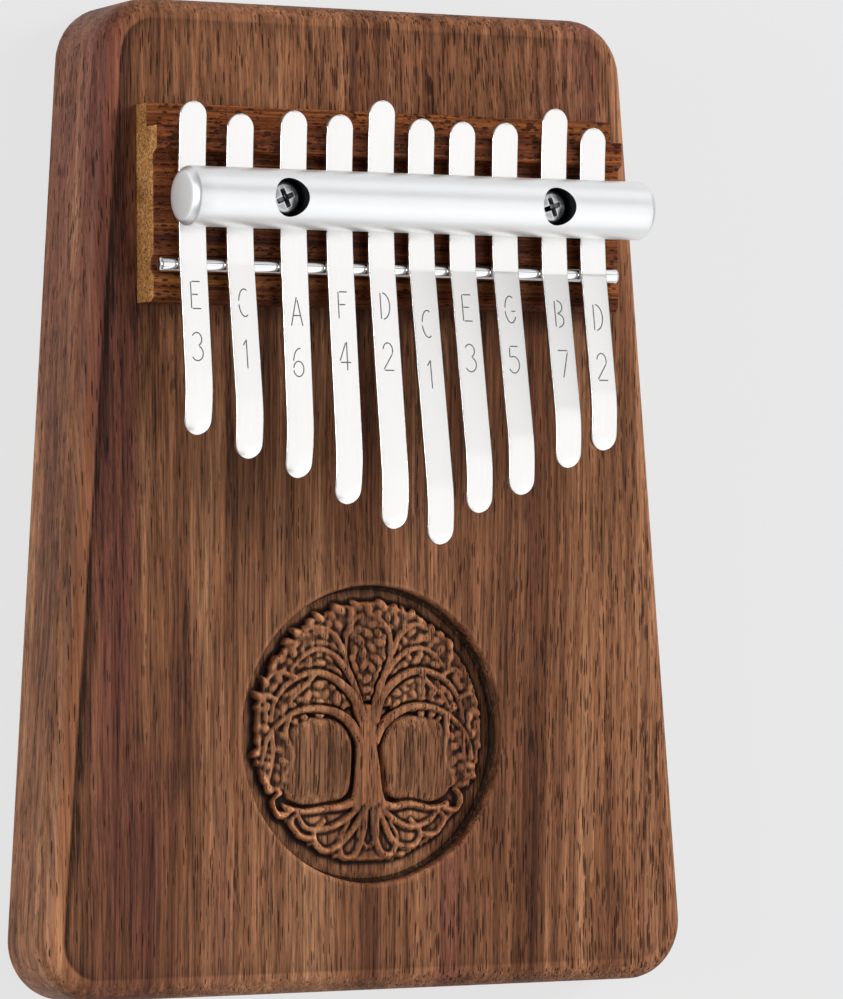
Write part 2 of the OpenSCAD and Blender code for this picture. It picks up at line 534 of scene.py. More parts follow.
NICKEL = Metal("bright_nickel", (0.87, 0.86, 0.845, 1.0), 0.2, 0.05, (3.0, 0.08, 3.0), 0.003, 0.2)
SATIN_BAR = Metal("satin_aluminium", (0.965, 0.975, 0.985, 1.0), 0.42, 0.05, (2.2, 5.0, 5.0), 0.006, 0.35)
# Near-black metal for the walls of the bar's counterbores: painted shade.
PAINTED_BORE_SHADE = Metal("blackened_bore", (0.045, 0.047, 0.052, 1.0), 0.38)
POLISHED = Metal("polished_steel", (0.84, 0.84, 0.85, 1.0), 0.09, 0.04, (0.3, 4.0, 4.0), 0.002, 0.15)
# Dark zinc plate with bright bare metal mixed in on the screw heads: rubbing, and painted highlight.
DARK_ZINC = Metal(
    "dark_zinc_plate",
    (0.19, 0.195, 0.205, 1.0),
    0.3,
    0.12,
    (1.4, 1.4, 1.4),
    0.012,
    0.5,
    rub_and_highlight_colour=(0.82, 0.84, 0.86, 1.0),
)
STAMP = Mark("stamped_line", (0.10, 0.10, 0.105, 1.0))


# ---------------------------------------------------------------------------------------------
# Meshes
# ---------------------------------------------------------------------------------------------


@dataclass
class Shell:
    """Points, faces and a value of rubbing and painted light at each point, from which an object is made."""

    points: list[tuple[float, float, float]] = field(default_factory=list)
    faces: list[tuple[int, ...]] = field(default_factory=list)
    worn: list[float] = field(default_factory=list)

    def ring(self, points: Sequence[Sequence[float]], worn: float | Sequence[float] = 0.0) -> list[int]:
        """Adds a row of points, with one value of rubbing and painted light for all or one for each, and
        returns their numbers.

        Args:
            points: the points, in metres.
            worn: the rubbing and painted light of all the points, or of each.

        Returns:
            The numbers of the points.
        """
        first = len(self.points)
        self.points += [tuple(point) for point in points]
        self.worn += list(np.broadcast_to(worn, len(points)).astype(float))
        return list(range(first, first + len(points)))

    def loft(self, rings: Sequence[Sequence[int]]) -> None:
        """Joins rings of equal length with four-sided faces, each ring to the next.

        Args:
            rings: the point numbers of each ring.
        """
        for lower, upper in zip(rings, rings[1:]):
            count = len(lower)
            for i in range(count):
                j = (i + 1) % count
                self.faces.append((lower[i], lower[j], upper[j], upper[i]))

    def cap(self, ring: Sequence[int], flip: bool = False) -> None:
        """Closes a ring with one face."""
        self.faces.append(tuple(reversed(ring)) if flip else tuple(ring))

    def build(self, name: str, crease_deg: float = 32.0) -> bpy.types.Object:
        """Makes the object, smooth but for edges sharper than a crease.

        Args:
            name: the object's name.
            crease_deg: the sharpest turn that still looks smooth.

        Returns:
            The object, linked to the scene.
        """
        mesh = bpy.data.meshes.new(name)
        mesh.from_pydata(self.points, [], self.faces)
        mesh.validate()
        worn = mesh.attributes.new("worn", "FLOAT", "POINT")
        worn.data.foreach_set("value", np.array(self.worn, np.float32))
        return linked(name, mesh, crease_deg)


def linked(name: str, mesh: bpy.types.Mesh, crease_deg: float = 32.0) -> bpy.types.Object:
    """Puts a mesh in the scene with smooth faces and sharp creases.

    Args:
        name: the object's name.
        mesh: its mesh, in place.
        crease_deg: the sharpest turn that still looks smooth.

    Returns:
        The object.
    """
    mesh.name = name
    mesh.shade_smooth()
    mesh.set_sharp_from_angle(angle=math.radians(crease_deg))
    made = bpy.data.objects.new(name, mesh)
    bpy.context.scene.collection.objects.link(made)
    return made


def settled(piece: bpy.types.Object, crease_deg: float = 32.0) -> bpy.types.Object:
    """Replaces a piece by the plain mesh that its modifiers make.

    Args:
        piece: an object with modifiers, which is removed.
        crease_deg: the sharpest turn that still looks smooth.

    Returns:
        A new object of the same name without modifiers.
    """
    bpy.context.view_layer.update()
    graph = bpy.context.evaluated_depsgraph_get()
    mesh = bpy.data.meshes.new_from_object(piece.evaluated_get(graph))
    name = piece.name
    bpy.data.objects.remove(piece)
    welded(mesh)
    return linked(name, mesh, crease_deg)


def welded(mesh: bpy.types.Mesh) -> None:
    """Joins points that cuts left almost together, and drops the empty faces between them.

    Args:
        mesh: the mesh, which is changed.
    """
    work = bmesh.new()
    work.from_mesh(mesh)
    bmesh.ops.remove_doubles(work, verts=work.verts, dist=WELD_MM * MM)
    bmesh.ops.dissolve_degenerate(work, edges=work.edges, dist=WELD_MM * MM)
    work.to_mesh(mesh)
    work.free()


def cut_from(piece: bpy.types.Object, cutters: Sequence[bpy.types.Object]) -> None:
    """Cuts other objects out of a piece; they are removed once the piece is settled.

    Args:
        piece: the object that is cut.
        cutters: what is cut out of it.
    """
    for cutter in cutters:
        cutter.hide_render = True
        cut = piece.modifiers.new("cut", "BOOLEAN")
        cut.operation = "DIFFERENCE"
        cut.solver = "EXACT"
        cut.object = cutter


def discard(objects: Sequence[bpy.types.Object]) -> None:
    """Removes helper objects."""
    for helper in objects:
        bpy.data.objects.remove(helper)


def quarter(steps: int) -> np.ndarray:
    """Angles from 0 to a quarter turn."""
    return np.linspace(0.0, math.pi / 2, steps + 1)


def smooth_path(points: Sequence[tuple[float, ...]], steps: int = 8) -> np.ndarray:
    """A smooth line through given points.

    Args:
        points: the points, with any number of coordinates.
        steps: samples between one point and the next.

    Returns:
        The sampled line.
    """
    given = np.array(points, float)
    padded = np.vstack([2 * given[0] - given[1], given, 2 * given[-1] - given[-2]])
    samples = []
    for i in range(1, len(padded) - 2):
        before, start, end, after = padded[i - 1 : i + 3]
        for t in np.linspace(0.0, 1.0, steps, endpoint=False):
            bend = 2 * before - 5 * start + 4 * end - after
            twist = 3 * start - before - 3 * end + after
            samples.append(start + 0.5 * t * (end - before + t * (bend + t * twist)))
    return np.array(samples + [given[-1]])


@dataclass(frozen=True)
class Face:
    """The sloping face of the board: x across, v along it and w out of it, in millimetres."""

    middle_t: float
    tilt: float

    @classmethod
    def of(cls, frame: dict[str, Any]) -> Face:
        """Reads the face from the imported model.


        Returns:
            The face.
        """
        slide = next(joint for joint in frame["joints"] if joint["type"] == "slide")
        tilt = math.atan2(slide["axis"][2], slide["axis"][1])
        thick = (Board.head_t + Board.foot_t) / 2
        return cls(thick, tilt)

    def at(self, x: float, v: float, w: float) -> tuple[float, float, float]:
        """The place of a point on the face, in metres.

        Args:
            x: how far to the right, in millimetres.
            v: how far up the slope.
            w: how far out of the face.

        Returns:
            The place in the part's own frame.
        """
        y = v * math.cos(self.tilt) - w * math.sin(self.tilt)
        z = self.middle_t + v * math.sin(self.tilt) + w * math.cos(self.tilt)
        return (x * MM, y * MM, z * MM)

    def over(self, x: float, y: float, w: float) -> tuple[float, float, float]:
        """The place at a plan position and a height over the face, in metres."""
        z = self.middle_t + y * math.tan(self.tilt) + w / math.cos(self.tilt)
        return (x * MM, y * MM, z * MM)

    def matrix(self, v: float, w: float) -> Matrix:
        """Turns metres in the face's frame, with its origin at (0, v, w), into the part's frame."""
        return Matrix.Translation(Vector(self.at(0.0, v, w))) @ Matrix.Rotation(self.tilt, 4, "X")


# ---------------------------------------------------------------------------------------------
# The carving
# ---------------------------------------------------------------------------------------------


@dataclass(frozen=True)
class Bough:
    """One limb or root of the carved tree, drawn for the right side in millimetres."""

    points: tuple[tuple[float, float], ...]
    thick: float
    thin: float
    crown: float = 1.75
    end: float = 1.35


@dataclass
class CarvedTree:
    """A tree in a ring of leaves, carved on the floor of the recess."""

    radius: float
    rings: int = 132
    spokes: int = 560
    rim: float = 1.2
    ground: float = 0.15
    cushion: float = 1.0
    leaf_long: float = 2.2
    leaf_wide: float = 1.2
    leaf_high: float = 0.6
    leaf_spacing: float = 1.35
    gouge: tuple[float, float] = (0.1, 1.0)
    seed: int = 7
    limbs: tuple[Bough, ...] = (
        Bough(
            ((1.5, -10.6), (1.15, -6.0), (1.0, -1.0), (1.1, 3.0), (2.6, 7.6), (4.2, 11.6), (3.9, 15.6)),
            1.0, 0.4, 2.1,
        ),
        Bough(
            ((0.9, 2.0), (2.4, 5.6), (5.6, 8.4), (9.4, 9.5), (13.2, 8.4), (16.0, 5.2), (16.9, 1.6)),
            0.85, 0.32, 1.95,
        ),
        Bough(
            ((1.1, -1.6), (2.9, 1.6), (6.2, 3.7), (10.2, 4.3), (14.0, 2.9), (17.0, -0.2), (18.6, -4.4)),
            0.8, 0.32, 1.9,
        ),
        Bough(((3.1, 8.8), (5.6, 11.8), (8.8, 13.0), (11.6, 12.2), (13.4, 10.0)), 0.55, 0.26),
        Bough(((4.2, 12.2), (5.6, 15.2), (8.4, 16.6), (11.0, 15.8)), 0.48, 0.22),
        Bough(((3.8, 15.2), (2.4, 17.4), (0.6, 18.6)), 0.4, 0.22),
        Bough(((9.0, 9.4), (11.2, 7.4), (13.4, 5.6), (14.8, 3.0)), 0.4, 0.22),
        Bough(((12.6, 8.8), (15.2, 9.8), (17.6, 8.6)), 0.4, 0.2),
        Bough(((15.8, 5.4), (18.0, 6.0), (19.6, 4.2)), 0.36, 0.2),
        Bough(((13.8, 3.0), (14.2, 0.0), (13.2, -3.2), (14.4, -6.2)), 0.38, 0.22, 1.8, 1.5),
        Bough(((16.6, 0.2), (16.6, -3.2), (17.4, -6.6)), 0.36, 0.2),
    )
    roots: tuple[Bough, ...] = (
        Bough(((1.2, -9.6), (4.0, -11.0), (7.6, -10.9), (11.2, -11.6), (14.6, -10.8)), 0.75, 0.35, 1.9),
        Bough(((1.1, -10.0), (3.6, -12.6), (7.0, -14.3), (10.4, -13.9), (12.4, -11.6)), 0.62, 0.34),
        Bough(
            ((0.8, -10.2), (2.6, -13.6), (4.9, -16.8), (8.0, -17.4), (9.4, -15.2), (7.4, -12.9)),
            0.58, 0.32,
        ),
        Bough(
            ((0.4, -10.4), (0.8, -14.2), (2.2, -17.8), (4.4, -18.6), (4.9, -15.9), (3.4, -13.2)),
            0.52, 0.3,
        ),
        Bough(((0.1, -11.0), (1.2, -12.6), (1.5, -15.4), (0.2, -17.4)), 0.46, 0.3),
        Bough(((9.2, -15.6), (11.6, -15.4), (13.6, -13.2), (12.0, -11.4)), 0.4, 0.26),
        Bough(((13.0, -11.4), (15.4, -12.2), (16.6, -10.0), (15.0, -8.4)), 0.38, 0.24),
    )

    def carve(self, wood: bpy.types.Material) -> bpy.types.Mesh:
        """Casts the drawn tree onto a round floor and softens it.

        Args:
            wood: the board's finish.

        Returns:
            The floor's mesh in metres, its middle at the origin and its outer points last.
        """
        floor = self._floor()
        helpers = {
            "Boughs": self._boughs(),
            "Lobes": self._lobes(),
            "Crown": self._crown(),
            "Leaf": self._leaf(),
        }
        cast = floor.modifiers.new("carve", "NODES")
        cast.node_group = self._tree()
        sizes = {"Leaf Spacing": self.leaf_spacing * MM, "Leaf Seed": self.seed, "Softening": 2, "Wood": wood}
        fill_inputs(cast, {**helpers, **sizes})
        bpy.context.view_layer.update()
        graph = bpy.context.evaluated_depsgraph_get()
        mesh = bpy.data.meshes.new_from_object(floor.evaluated_get(graph))
        discard([floor, *helpers.values()])
        return mesh

    @staticmethod
    def painted_relief_light(x: float, y: float) -> float:
        """Painted light on the carving: a painted highlight on the trunk and painted shade on the fields
        beside it.

        Args:
            x: how far right of the recess's middle, in millimetres.
            y: how far up from it.

        Returns:
            What is added to the brightness: more than 0 on the trunk, less than 0 on the fields.
        """
        trunk_foot, trunk_top, trunk_half = -11.5, 4.5, 3.2
        field_x, field_y, field_reach = 8.9, -4.1, 6.6
        brighter, duller = 0.75, 0.45
        ends = min(1.0, max(0.0, (y - trunk_foot) / 2.0)) * min(1.0, max(0.0, (trunk_top - y) / 3.0))
        trunk = brighter * max(0.0, 1.0 - (x / trunk_half) ** 2) * ends
        across = ((abs(x) - field_x) / field_reach) ** 2 + ((y - field_y) / field_reach) ** 2
        return trunk - duller * min(1.0, max(0.0, 1.6 - 1.6 * across**2))

    def _floor(self) -> bpy.types.Object:
        """A fine round grid that rises a little inside its plain rim.

        Returns:
            The grid.
        """
        shell = Shell()
        angles = np.linspace(0.0, 2 * math.pi, self.spokes, endpoint=False)
        shell.ring([(0.0, 0.0, self.ground * MM)])
        rows = []
        for step in range(1, self.rings + 1):
            reach = self.radius * step / self.rings
            rise = min(1.0, (self.radius - reach) / self.rim)
            height = self.ground * rise * rise * (3 - 2 * rise)
            ring = [(reach * MM * math.cos(a), reach * MM * math.sin(a), height * MM) for a in angles]
            rows.append(shell.ring(ring))
        inner = rows[0]
        for i, here in enumerate(inner):
            shell.faces.append((0, here, inner[(i + 1) % len(inner)]))
        for lower, upper in zip(rows, rows[1:]):
            for i in range(self.spokes):
                j = (i + 1) % self.spokes
                shell.faces.append((lower[i], upper[i], upper[j], lower[j]))
        return shell.build("carved_floor")

    def _boughs(self) -> bpy.types.Object:
        """The limbs and roots of both sides as curves with their thickness at each point.

        Returns:
            The curves, as one object.
        """
        curve = bpy.data.curves.new("boughs", "CURVE")
        curve.dimensions = "3D"
        trunk = Bough(((0.0, -10.8), (0.1, -6.0), (0.0, 0.0), (0.0, 4.4)), 3.0, 1.6, 2.0, 1.35)
        flare = Bough(((2.6, -11.2), (1.5, -8.6), (1.1, -5.0)), 0.9, 0.8, 1.9, 2.0)
        drawn = [(trunk, 1.0)] + [(b, s) for b in (*self.limbs, *self.roots, flare) for s in (-1.0, 1.0)]
        jitter = np.random.default_rng(self.seed)
        for bough, side in drawn:
            moved = np.array(bough.points) + jitter.normal(0.0, 0.16, (len(bough.points), 2))
            path = smooth_path(moved)
            spline = curve.splines.new("POLY")
            spline.points.add(len(path) - 1)
            for point, (x, y), share in zip(spline.points, path, np.linspace(0.0, 1.0, len(path))):
                reach = bough.thick + (bough.thin - bough.thick) * share
                top = bough.crown + (bough.end - bough.crown) * share
                point.co = (side * x * MM, y * MM, (top - reach) * MM, 1.0)
                point.radius = reach * MM
        made = bpy.data.objects.new("boughs", curve)
        bpy.context.scene.collection.objects.link(made)
        return made

    def _lobes(self) -> bpy.types.Object:
        """Two plain swellings, one on each side of the trunk.

        Returns:
            The swellings, as one object.
        """
        shell = Shell()
        middle, half_x, half_y, high = 8.9, 7.2, 7.1, 1.5
        angles = np.linspace(0.0, 2 * math.pi, 72, endpoint=False)
        for side in (-1.0, 1.0):
            rows = []
            for t in np.linspace(1.0, 0.08, 16):
                height = high * (1 - t**5) ** 0.5
                ring = []
                for a in angles:
                    x = side * middle + half_x * t * math.copysign(abs(math.cos(a)) ** 0.82, math.cos(a))
                    y = -4.1 + half_y * t * math.copysign(abs(math.sin(a)) ** 0.82, math.sin(a))
                    ring.append((x * MM, y * MM, height * MM))
                rows.append(shell.ring(ring))
            shell.loft(rows)
            shell.cap(rows[-1])
        self._cushions(shell, lambda x, y: y < -11.4 - 0.02 * abs(x))
        return shell.build("lobes")

    def _crown(self) -> bpy.types.Object:
        """The raised ground where leaves grow.

        Returns:
            The raised ground, as one object.
        """
        shell = Shell()

        def leafy(x: float, y: float) -> bool:
            """Whether leaves grow at a place.

            Args:
                x: how far right of the recess's middle, in millimetres.
                y: how far up from it.

            Returns:
                True where they grow.
            """
            over_lobes = y > 4.0 - 0.012 * x * x
            beside = abs(x) > 14.6 and y > -8.4
            return (over_lobes or beside) and not (abs(x) < 1.6 and y < 5.0)

        self._cushions(shell, leafy)
        return shell.build("crown")

    def _cushions(self, shell: Shell, grows: Callable[[float, float], bool]) -> None:
        """Adds raised ground in small squares wherever a rule says so.

        Args:
            shell: what it is added to.
            grows: says whether ground is raised at a place, in millimetres.
        """
        step = 0.5
        reach = self.radius - self.rim - 1.1
        for x in np.arange(-reach, reach, step):
            for y in np.arange(-reach, reach, step):
                if math.hypot(x, y) < reach and grows(x, y):
                    corners = [(x, y), (x + step, y), (x + step, y + step), (x, y + step)]
                    shell.cap(shell.ring([(a * MM, b * MM, self.cushion * MM) for a, b in corners]))

    def _leaf(self) -> bpy.types.Object:
        """One small pointed leaf with a sunk vein, standing on the ground.

        Returns:
            The leaf.
        """
        shell = Shell()
        section = ((-1, 0), (-0.55, 1), (0, 0.55), (0.55, 1), (1, 0))
        rows = []
        for share in np.linspace(0.0, 1.0, 7):
            wide = self.leaf_wide / 2 * math.sin(math.pi * share) ** 0.8
            high = self.leaf_high * math.sin(math.pi * share) ** 0.5
            y = (share - 0.5) * self.leaf_long
            rows.append(shell.ring([(x * wide * MM, y * MM, z * high * MM) for x, z in section]))
        for lower, upper in zip(rows, rows[1:]):
            for i in range(len(lower) - 1):
                shell.faces.append((lower[i], lower[i + 1], upper[i + 1], upper[i]))
        return shell.build("leaf")

    def _tree(self) -> bpy.types.NodeTree:
        """The geometry tree that grows the leaves and casts everything on the floor.

        Returns:
            The tree, ready for a modifier.
        """
        tree = bpy.data.node_groups.new("carve_tree", "GeometryNodeTree")
        graph = Graph(tree)
        graph.entry("Geometry", "NodeSocketGeometry")
        for name in ("Boughs", "Lobes", "Crown", "Leaf"):
            graph.entry(name, "NodeSocketObject")
        graph.entry("Leaf Spacing", "NodeSocketFloat")
        graph.entry("Leaf Seed", "NodeSocketInt")
        graph.entry("Softening", "NodeSocketInt")
        graph.entry("Wood", "NodeSocketMaterial")
        tree.interface.new_socket(name="Geometry", in_out="OUTPUT", socket_type="NodeSocketGeometry")
        given = graph.node("NodeGroupInput").outputs
        shapes = {
            name: graph.node("GeometryNodeObjectInfo", sockets={"Object": given[name]}).outputs["Geometry"]
            for name in ("Boughs", "Lobes", "Crown", "Leaf")
        }
        ring = graph.node("GeometryNodeCurvePrimitiveCircle", sockets={"Resolution": 14, "Radius": 1.0})
        tubes = graph.node(
            "GeometryNodeCurveToMesh",
            sockets={
                "Curve": shapes["Boughs"],
                "Profile Curve": ring.outputs["Curve"],
                "Scale": graph.node("GeometryNodeInputRadius").outputs[0],
                "Fill Caps": True,
            },
        )
        leaves = self._leaves(graph, given, shapes)
        joined = graph.node("GeometryNodeJoinGeometry")
        for shape in (shapes["Crown"], shapes["Lobes"], leaves):
            graph.feed(joined.inputs[0], shape)
        moved = self._cast(graph, given, joined.outputs[0], tubes.outputs[0])
        solid = graph.node("GeometryNodeRealizeInstances", sockets={0: moved})
        dressed = graph.node(
            "GeometryNodeSetMaterial", sockets={"Geometry": solid.outputs[0], "Material": given["Wood"]}
        )
        graph.node("NodeGroupOutput", sockets={0: dressed.outputs[0]})
        return tree

    def _leaves(self, graph: Graph, given: Any, shapes: dict[str, Any]) -> bpy.types.NodeSocket:
        """Leaves scattered over the crown, each turned and sized by chance.

        Args:
            graph: the geometry tree that is being built.
            given: the tree's inputs.
            shapes: the helpers' geometry, by name.

        Returns:
            The leaves as plain geometry.
        """
        scatter = graph.node(
            "GeometryNodeDistributePointsOnFaces",
            {"distribute_method": "POISSON"},
            {
                "Mesh": shapes["Crown"],
                "Distance Min": given["Leaf Spacing"],
                "Density Max": 2.0e6,
                "Seed": given["Leaf Seed"],
            },
        )
        turn = graph.node(
            "FunctionNodeRandomValue",
            {"data_type": "FLOAT_VECTOR"},
            {"Min": (-0.25, -0.25, 0.0), "Max": (0.25, 0.25, 2 * math.pi), "Seed": 3},
        )
        size = graph.node(
            "FunctionNodeRandomValue", {"data_type": "FLOAT"}, {2: 0.7, 3: 1.25, "Seed": 5}
        )
        placed = graph.node(
            "GeometryNodeInstanceOnPoints",
            sockets={
                "Points": scatter.outputs["Points"],
                "Instance": shapes["Leaf"],
                "Rotation": turn.outputs[0],
                "Scale": size.outputs[1],
            },
        )
        return graph.node("GeometryNodeRealizeInstances", sockets={0: placed.outputs[0]}).outputs[0]

    def _cast(self, graph: Graph, given: Any, mounds: Any, boughs: Any) -> bpy.types.NodeSocket:
        """Lifts each point of the floor to the carving over it, and notes how proud it stands.

        Args:
            graph: the geometry tree.
            given: the tree's inputs.
            mounds: what is gouged away beside the boughs.
            boughs: the limbs and roots.

        Returns:
            The carved floor.
        """
        place = graph.node("GeometryNodeInputPosition").outputs[0]
        ground = Value(graph, graph.node("ShaderNodeSeparateXYZ", sockets={0: place}).outputs[2])
        near = graph.node("GeometryNodeProximity", {"target_element": "FACES"}, {0: boughs})
        gap = Value(graph, near.outputs["Distance"]) * (1 / MM)
        kept_share = gap.band(*self.gouge)
        mound = (self._height(graph, place, mounds) - ground).top(0.0) * kept_share
        raised = (ground + mound).top(self._height(graph, place, boughs))
        soft = self._blurred(graph, raised, given["Softening"])
        wide = self._blurred(graph, raised, 16)
        lift = graph.node("ShaderNodeCombineXYZ", sockets={2: soft - ground})
        moved = graph.node(
            "GeometryNodeSetPosition", sockets={"Geometry": given["Geometry"], "Offset": lift.outputs[0]}
        )
        noted = graph.node(
            "GeometryNodeStoreNamedAttribute",
            {"data_type": "FLOAT", "domain": "POINT"},
            {"Geometry": moved.outputs[0], "Name": "crest", "Value": (soft - wide) * (1 / MM)},
        )
        return noted.outputs[0]

    @staticmethod
    def _height(graph: Graph, place: bpy.types.NodeSocket, target: bpy.types.NodeSocket) -> Value:
        """The height of what stands over a point, or 0 where nothing does.

        Args:
            graph: the geometry tree that is being built.
            place: the point.
            target: the geometry that may stand over it.

        Returns:
            The height.
        """
        above = graph.node("ShaderNodeVectorMath", {"operation": "ADD"}, {0: place, 1: (0.0, 0.0, 0.01)})
        ray = graph.node(
            "GeometryNodeRaycast",
            sockets={
                "Target Geometry": target,
                "Source Position": above.outputs[0],
                "Ray Direction": (0.0, 0.0, -1.0),
                "Ray Length": 0.02,
            },
        )
        parts = graph.node("ShaderNodeSeparateXYZ", sockets={0: ray.outputs["Hit Position"]})
        return Value(graph, parts.outputs[2]) * Value(graph, ray.outputs["Is Hit"])

    @staticmethod
    def _blurred(graph: Graph, value: Value, times: Any) -> Value:
        """A value softened over neighbouring points.

        Args:
            graph: the geometry tree that is being built.
            value: what is softened.
            times: how many times it is softened.

        Returns:
            The softened value.
        """
        made = graph.node(
            "GeometryNodeBlurAttribute", {"data_type": "FLOAT"}, {0: value, "Iterations": times}
        )
        return Value(graph, made.outputs[0])


def fill_inputs(modifier: bpy.types.NodesModifier, values: dict[str, Any]) -> None:
    """Sets a modifier's named inputs through their identifiers.

    Args:
        modifier: a Geometry Nodes modifier with its tree.
        values: what each named input gets.
    """
    for item in modifier.node_group.interface.items_tree:
        if item.item_type == "SOCKET" and item.in_out == "INPUT" and item.name in values:
            modifier[item.identifier] = values[item.name]


# ---------------------------------------------------------------------------------------------
# Board and block
# ---------------------------------------------------------------------------------------------


@dataclass
class Board:
    """The solid board with its round recess."""

    length: float = 150.0
    head_w: float = 90.5
    foot_w: float = 113.5
    head_t: float = 17.0
    foot_t: float = 13.4
    corner_r: float = 9.0
    face_round: float = 3.0
    back_round: float = 1.5
    recess_r: float = 22.7
    recess_deep: float = 3.0
    recess_v: float = -36.0
    rim_round: float = 0.45
    foot_round: float = 0.6
    guard: float = 0.4
    # Painted shade over the recess floor.
    floor_painted_shade: float = -0.05
    # Painted shade on the recess wall.
    wall_painted_shade: float = -1.7

    def build(self, face: Face) -> bpy.types.Object:
        """Builds the board, its recess and the carving as one closed mesh.

        Args:
            face: the board's face.

        Returns:
            The board.
        """
        tree = CarvedTree(self.recess_r - self.foot_round)
        wood = WALNUT.material()
        shell = Shell()
        plan, out = self._outline(face, tree.spokes)
        rings = self._outside(shell, face, plan, out)
        rings += self._recess(shell, face, tree.spokes)
        shell.cap(rings[0], flip=True)
        shell.loft(rings)
        crest = [0.0] * len(shell.points)
        self._join_floor(shell, crest, tree.carve(wood), face, rings[-1])
        board = shell.build("board_body", 40.0)
        mark = board.data.attributes.new("crest", "FLOAT", "POINT")
        mark.data.foreach_set("value", np.array(crest, np.float32))
        board.data.materials.append(wood)
        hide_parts("board")
        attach(board, INSTRUMENT)
        LOG.info("board: %d faces", len(board.data.polygons))
        return board

    def _outline(self, face: Face, spokes: int) -> tuple[np.ndarray, np.ndarray]:
        """Points of the plan, one on each spoke from the recess, and their outward directions.

        Args:
            face: the sloping face of the board; not used.
            spokes: how many points there are.

        Returns:
            The points and the directions, with one row for each spoke.
        """
        slope = (self.foot_w - self.head_w) / 2 / self.length
        lean = math.atan(slope)
        inset_y = self.length / 2 - self.corner_r
        points, outs = [], []
        spans = {
            (1, 1): (lean, math.pi / 2),
            (-1, 1): (math.pi / 2, math.pi - lean),
            (-1, -1): (math.pi - lean, 1.5 * math.pi),
            (1, -1): (-math.pi / 2, lean),
        }
        for (side, end), (first, last) in spans.items():
            y = end * inset_y
            half = (self.head_w + self.foot_w) / 4 - slope * y
            x = side * (half - self.corner_r * math.hypot(1.0, slope))
            for a in np.linspace(first, last, 60):
                outs.append((math.cos(a), math.sin(a)))
                points.append((x + self.corner_r * math.cos(a), y + self.corner_r * math.sin(a)))
        loop = np.array(points + points[:1])
        turns = np.array(outs + outs[:1])
        share = np.linspace(0.0, 1.0, 24, endpoint=False)[:, None]
        dense = np.vstack([here + (there - here) * share for here, there in zip(loop, loop[1:])])
        facing = np.vstack([here + (there - here) * share for here, there in zip(turns, turns[1:])])
        angle = np.unwrap(np.arctan2(dense[:, 1] - self.recess_v, dense[:, 0]))
        start = angle[0]
        wanted = np.linspace(0.0, 2 * math.pi, spokes, endpoint=False)
        wanted = np.mod(wanted - start, 2 * math.pi) + start
        closed = np.append(angle, start + 2 * math.pi)
        plan = np.stack([np.interp(wanted, closed, np.append(dense[:, k], dense[0, k])) for k in (0, 1)], 1)
        out = np.stack([np.interp(wanted, closed, np.append(facing[:, k], facing[0, k])) for k in (0, 1)], 1)
        return plan, out / np.linalg.norm(out, axis=1)[:, None]

    def _outside(self, shell: Shell, face: Face, plan: np.ndarray, out: np.ndarray) -> list[list[int]]:
        """Rings from the flat back, round its edge, up the sides and over to the face.

        Args:
            shell: what it is added to.
            face: the sloping face of the board.
            plan: the points of the outline.
            out: their outward directions.

        Returns:
            The point numbers of each ring.
        """
        rings = []
        leftward = np.clip(-out[:, 0], 0.0, 1.0)

        def low(inset: float, z: float, worn: float) -> None:
            """One ring at a height above the back."""
            rings.append(shell.ring([(x * MM, y * MM, z * MM) for x, y in plan - out * inset], worn))

        def high(inset: float, w: float, worn: float, left: float = 0.0) -> None:
            """One ring at a height over the face, with painted light added on the left by a signed amount."""
            rub_and_light = worn + left * leftward
            rings.append(shell.ring([face.over(x, y, w) for x, y in plan - out * inset], rub_and_light))

        low(self.back_round + self.guard, 0.0, 0.0)
        # The back edge and the sides come out a little lighter.
        for a in quarter(5):
            low(self.back_round * (1 - math.sin(a)), self.back_round * (1 - math.cos(a)), 0.5)
        low(0.0, self.back_round + self.guard, 0.35)
        high(0.0, -self.face_round - self.guard, 0.35)
        # Painted highlight along the face's rounded edge, strongest toward the face and stronger on the left.
        for a in quarter(10):
            bright = math.sin(min(a * 1.25, math.pi / 2)) ** 6
            high(self.face_round * (1 - math.cos(a)), -self.face_round * (1 - math.sin(a)), 0.35, bright)
        # Painted shade: a darker line just inside the face's edge, darker on the left.
        high(self.face_round + self.guard, 0.0, -0.3, -0.8)
        high(self.face_round + 3 * self.guard, 0.0, -0.15, -0.55)
        high(self.face_round + 7 * self.guard, 0.0, 0.0)
        return rings

    def _recess(self, shell: Shell, face: Face, spokes: int) -> list[list[int]]:
        """Rings from the face over the rim and down the wall of the recess.

        Args:
            shell: what it is added to.
            face: the sloping face of the board.
            spokes: how many points each ring has.

        Returns:
            The point numbers of each ring.
        """
        angles = np.linspace(0.0, 2 * math.pi, spokes, endpoint=False)
        rings = []

        def hoop(reach: float, w: float, worn: float) -> None:
            """One ring round the recess.

            Args:
                reach: its radius, in millimetres.
                w: its height over the face.
                worn: its painted light, below 0 for painted shade.
            """
            points = [
                face.at(reach * math.cos(a), self.recess_v + reach * math.sin(a), w) for a in angles
            ]
            rings.append(shell.ring(points, worn))

        hoop(self.recess_r + self.rim_round + self.guard, 0.0, 0.0)
        # Painted highlight on the rounded rim of the recess.
        for a in quarter(4):
            hoop(self.recess_r + self.rim_round * (1 - math.sin(a)), -self.rim_round * (1 - math.cos(a)), 0.5)
        # Painted shade down the wall and into the foot of the recess.
        for a in quarter(6):
            reach = self.recess_r - self.foot_round * (1 - math.cos(a))
            hoop(reach, -self.recess_deep + self.foot_round * (1 - math.sin(a)), self.wall_painted_shade)
        return rings

